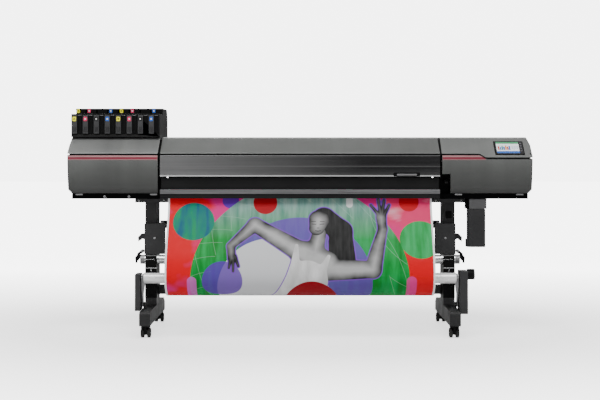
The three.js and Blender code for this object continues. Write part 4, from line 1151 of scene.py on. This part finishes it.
# ---------------------------------------------------------------- printed artwork
class Print(Finish):
    """Flat colours on the sheet's own (across, down) metres."""

    def __init__(self, name):
        super().__init__(name, (1.0, 1.0, 1.0), 0.5, Specular_IOR_Level=0.12)
        self.place = self.node("ShaderNodeUVMap", uv_map="web").outputs["UV"]
        self.across, self.down, _ = self.axes()

    def disc(self, u, v, radius):
        """Distance to the edge of a disc, negative inside."""
        return self.math("SUBTRACT", self.vector("DISTANCE", self.place, (u, v, 0.0)), radius)

    def limb(self, start, end, radius, tip=None):
        """Distance to a round-ended bar that narrows from radius to tip, negative inside."""
        a, b = Vector((*start, 0.0)), Vector((*end, 0.0))
        run = b - a
        from_a = self.vector("SUBTRACT", self.place, tuple(a))
        share = self.vector("DOT_PRODUCT", from_a, tuple(run / run.length_squared))
        share = self.math("MAXIMUM", self.math("MINIMUM", share, 1.0), 0.0)
        gap = self.vector("DISTANCE", from_a, self.vector("SCALE", tuple(run), share))
        width = radius if tip is None else self.math("MULTIPLY_ADD", share, tip - radius, radius)
        return self.math("SUBTRACT", gap, width)

    def merged(self, distances, blend=0.02):
        whole = distances[0]
        for distance in distances[1:]:
            whole = self.math("SMOOTH_MIN", whole, distance, blend)
        return whole

    def inside(self, distance, edge=0.0012):
        return self.spread(distance, 1.0, 0.0, -edge, edge)

    def over(self, ground, distance, color, strength=1.0):
        share = self.inside(distance)
        if strength < 1.0:
            share = self.math("MULTIPLY", share, strength)
        return self.mix(share, ground, color)


RED, PINK, ROSE, CRIMSON = (0.90, 0.0, 0.010), (0.84, 0.02, 0.27), (0.92, 0.035, 0.17), (0.36, 0.0, 0.008)
GREEN, MINT, VIOLET = (0.0, 0.26, 0.02), (0.01, 0.42, 0.10), (0.17, 0.04, 0.52)
INK_DEPTH = 0.7
MARGIN = 11 * MM
RING_CENTRE = (0.0, 0.62)


def artwork(end):
    """A poster of discs and rings behind a dancer, printed up to end metres below the platen."""
    made = Print("printed_artwork")
    ground = dancer(made, fields(made))
    for u, v, radius, color in (
        (-0.21, 0.095, 0.072, (0.46, 0.0, 0.008)),
        (0.07, 0.75, 0.150, CRIMSON),
        (0.66, 0.09, 0.060, (0.62, 0.0, 0.01)),
    ):
        ground = made.over(ground, made.disc(u, v, radius), color)
    for u, top, foot, radius, color in (
        (-0.64, 0.60, 0.74, 0.028, (0.78, 0.16, 0.66)),
        (0.66, 0.60, 0.76, 0.030, (0.92, 0.05, 0.36)),
        (0.30, -0.1, 0.105, 0.020, (1.0, 1.0, 1.0)),
    ):
        ground = made.over(ground, made.limb((u, top), (u, foot), radius), color, 0.85)
    edge = made.math("SUBTRACT", made.math("ABSOLUTE", made.across), MEDIA_HALF - MARGIN)
    for limit in (made.math("SUBTRACT", made.down, end), made.math("SUBTRACT", -0.04, made.down)):
        edge = made.math("MAXIMUM", edge, limit)
    ground = made.vector("SCALE", ground, INK_DEPTH)
    made.color_from(made.mix(made.inside(edge, 0.0006), (0.86, 0.86, 0.87), ground))
    made.roughness_from(made.spread(made.noise(30.0, 3.0), 0.42, 0.52))
    return made.made


def fields(made):
    """The painted ground: red to pink across, a great green ring and scattered discs."""
    wash = made.spread(made.noise(2.6, 3.0), -0.35, 0.35)
    drift = made.math("ADD", made.across, wash)
    ground = made.mix(made.spread(drift, 0.0, 1.0, -0.62, -0.50), RED, PINK)
    ground = made.mix(made.spread(drift, 0.0, 1.0, 0.30, 0.60), ground, ROSE)
    cloud = made.spread(made.noise(4.0, 3.0, (1.0, 2.4, 1.0)), 0.0, 0.75, 0.52, 0.72)
    share = made.math("MULTIPLY", cloud, made.spread(made.across, 0.0, 1.0, 0.3, 0.45))
    ground = made.mix(share, ground, (0.95, 0.62, 0.72))
    low = made.spread(made.math("ADD", made.down, wash), 0.0, 1.0, 0.20, 0.42)
    share = made.math("MULTIPLY", low, made.spread(made.across, 0.0, 1.0, 0.3, 0.4))
    ground = made.mix(share, ground, RED)
    streaks = made.spread(made.noise(26.0, 4.0, (1.0, 0.16, 1.0)), 0.0, 1.0, 0.35, 0.65)
    pale = made.mix(streaks, (0.14, 0.34, 0.29), (0.36, 0.52, 0.48))
    rising = made.spread(made.down, 1.0, 0.0, 0.10, 0.34)
    rings = made.math("PINGPONG", made.vector("DISTANCE", made.place, (-0.5, 0.9, 0.0)), 0.045)
    spokes = made.math("PINGPONG", made.vector("DISTANCE", made.place, (0.9, 0.1, 0.0)), 0.06)
    lines = made.math("SUBTRACT", made.math("MINIMUM", rings, spokes), 0.0013)
    outer = made.mix(rising, made.mix(streaks, (0.0, 0.24, 0.02), (0.0, 0.46, 0.09)), pale)
    for u, v, radius, color, strength in (
        (-0.42, 0.08, 0.050, (0.14, 0.02, 0.45), 1.0),
        (*RING_CENTRE, 0.65, made.over(outer, lines, (0.55, 0.85, 0.66), 0.35), 1.0),
        (*RING_CENTRE, 0.53, made.mix(rising, made.mix(streaks, GREEN, MINT), pale), 1.0),
        (*RING_CENTRE, 0.43, VIOLET, 0.8),
        (-0.16, 0.66, 0.33, (0.86, 0.88, 0.87), 0.9),
        (-0.46, 0.60, 0.120, (0.13, 0.015, 0.48), 0.85),
        (-0.64, 0.22, 0.125, made.mix(streaks, (0.0, 0.34, 0.12), (0.01, 0.13, 0.24)), 1.0),
        (0.72, 0.34, 0.125, made.mix(streaks, (0.0, 0.36, 0.06), (0.03, 0.56, 0.16)), 1.0),
    ):
        ground = made.over(ground, made.disc(u, v, radius), color, strength)
    return ground


def dancer(made, ground):
    """A monochrome dancer with both arms out and loose hair, drawn from plain rounded limbs."""
    arms = [made.limb(*rest) for rest in (
        ((-0.01, 0.41), (-0.27, 0.24), 0.064, 0.046),
        ((-0.27, 0.24), (-0.41, 0.38), 0.044, 0.024),
        ((-0.41, 0.39), (-0.405, 0.46), 0.024, 0.022),
        ((-0.41, 0.46), (-0.42, 0.52), 0.010, 0.007),
        ((-0.395, 0.46), (-0.395, 0.54), 0.010, 0.007),
        ((-0.385, 0.45), (-0.365, 0.51), 0.010, 0.007),
        ((0.17, 0.53), (0.43, 0.53), 0.066, 0.050),
        ((0.43, 0.53), (0.495, 0.27), 0.050, 0.026),
        ((0.495, 0.27), (0.49, 0.19), 0.026, 0.030),
        ((0.49, 0.19), (0.43, 0.11), 0.012, 0.008),
        ((0.49, 0.18), (0.475, 0.075), 0.012, 0.008),
        ((0.495, 0.18), (0.51, 0.08), 0.012, 0.008),
        ((0.50, 0.19), (0.54, 0.11), 0.012, 0.008),
    )]
    neck = made.limb((0.115, 0.30), (0.09, 0.42), 0.042, 0.050)
    chest = made.merged([made.limb((0.02, 0.43), (0.15, 0.50), 0.080, 0.085), neck], 0.04)
    skin = made.merged([*arms, chest], 0.015)
    top, hair = (made.merged([made.limb(*rest) for rest in limbs], 0.03) for limbs in (
        (((0.04, 0.60), (-0.02, 0.80), 0.125, 0.16), ((-0.02, 0.38), (-0.03, 0.52), 0.010, 0.03),
         ((0.17, 0.45), (0.12, 0.56), 0.010, 0.03)),
        (((0.145, 0.195), (0.24, 0.28), 0.070, 0.070), ((0.24, 0.28), (0.28, 0.52), 0.070, 0.055),
         ((0.22, 0.36), (0.20, 0.56), 0.050, 0.030)),
    ))
    face = made.limb((0.115, 0.205), (0.100, 0.265), 0.062, 0.046)
    whole = made.math("MINIMUM", made.math("MINIMUM", skin, face), made.math("MINIMUM", hair, top))
    ground = made.over(ground, made.math("SUBTRACT", whole, 0.006), (0.25, 0.08, 0.62))
    strands = made.spread(made.noise(60.0, 3.0, (1.0, 0.12, 1.0)), 0.0, 1.0)
    ground = made.over(ground, hair, made.mix(strands, (0.002, 0.002, 0.002), (0.03, 0.03, 0.03)))
    ground = made.over(ground, skin, toned(made, skin, 0.05))
    folds = made.spread(made.noise(16.0, 3.0, (1.0, 0.35, 1.0)), 0.0, 1.0)
    ground = made.over(ground, top, made.mix(folds, (0.62, 0.62, 0.62), (1.0, 1.0, 1.0)))
    ground = made.over(ground, face, toned(made, face, 0.055))
    return calm_face(made, ground, (0.108, 0.235))


def toned(made, distance, depth):
    """Grey skin: dark at the outline, light along the middle, with soft patches."""
    light = made.spread(distance, 1.0, 0.0, -depth, 0.002)
    patch = made.spread(made.noise(9.0, 2.0), -0.2, 0.2)
    return made.mix(made.math("ADD", light, patch, clamp=True), (0.016, 0.016, 0.016), (0.56, 0.56, 0.56))


def calm_face(made, ground, middle):
    """Closed eyes halfway down the head, the nose's foot and mouth at even thirds below the brow."""
    u, v = middle
    lines = [made.limb((u + u0, v + v0), (u + u1, v + v1), radius) for u0, v0, u1, v1, radius in (
        (-0.036, -0.001, -0.012, 0.001, 0.0022),
        (0.012, 0.001, 0.036, -0.001, 0.0022),
        (-0.038, -0.017, -0.013, -0.019, 0.0020),
        (0.013, -0.019, 0.038, -0.017, 0.0020),
        (-0.006, 0.026, 0.006, 0.026, 0.0022),
        (-0.015, 0.045, 0.0, 0.048, 0.0028),
        (0.0, 0.048, 0.015, 0.045, 0.0028),
    )]
    return made.over(ground, made.merged(lines, 0.001), (0.02, 0.02, 0.02), 0.85)


# ---------------------------------------------------------------- scene
def add_floor():
    bm = bmesh.new()
    corners = [(-30, -14, -0.001), (30, -14, -0.001), (30, 40, -0.001), (-30, 40, -0.001)]
    bm.faces.new([bm.verts.new(c) for c in corners])
    floor = object_from(bm, "floor", "floor")


add_camera()
add_world()
add_lights()
add_floor()
covers()
window()
control_panel()
ink_tower()
mechanism()
take_up()
tension()
supply()
stand()
bottle()
media_web()
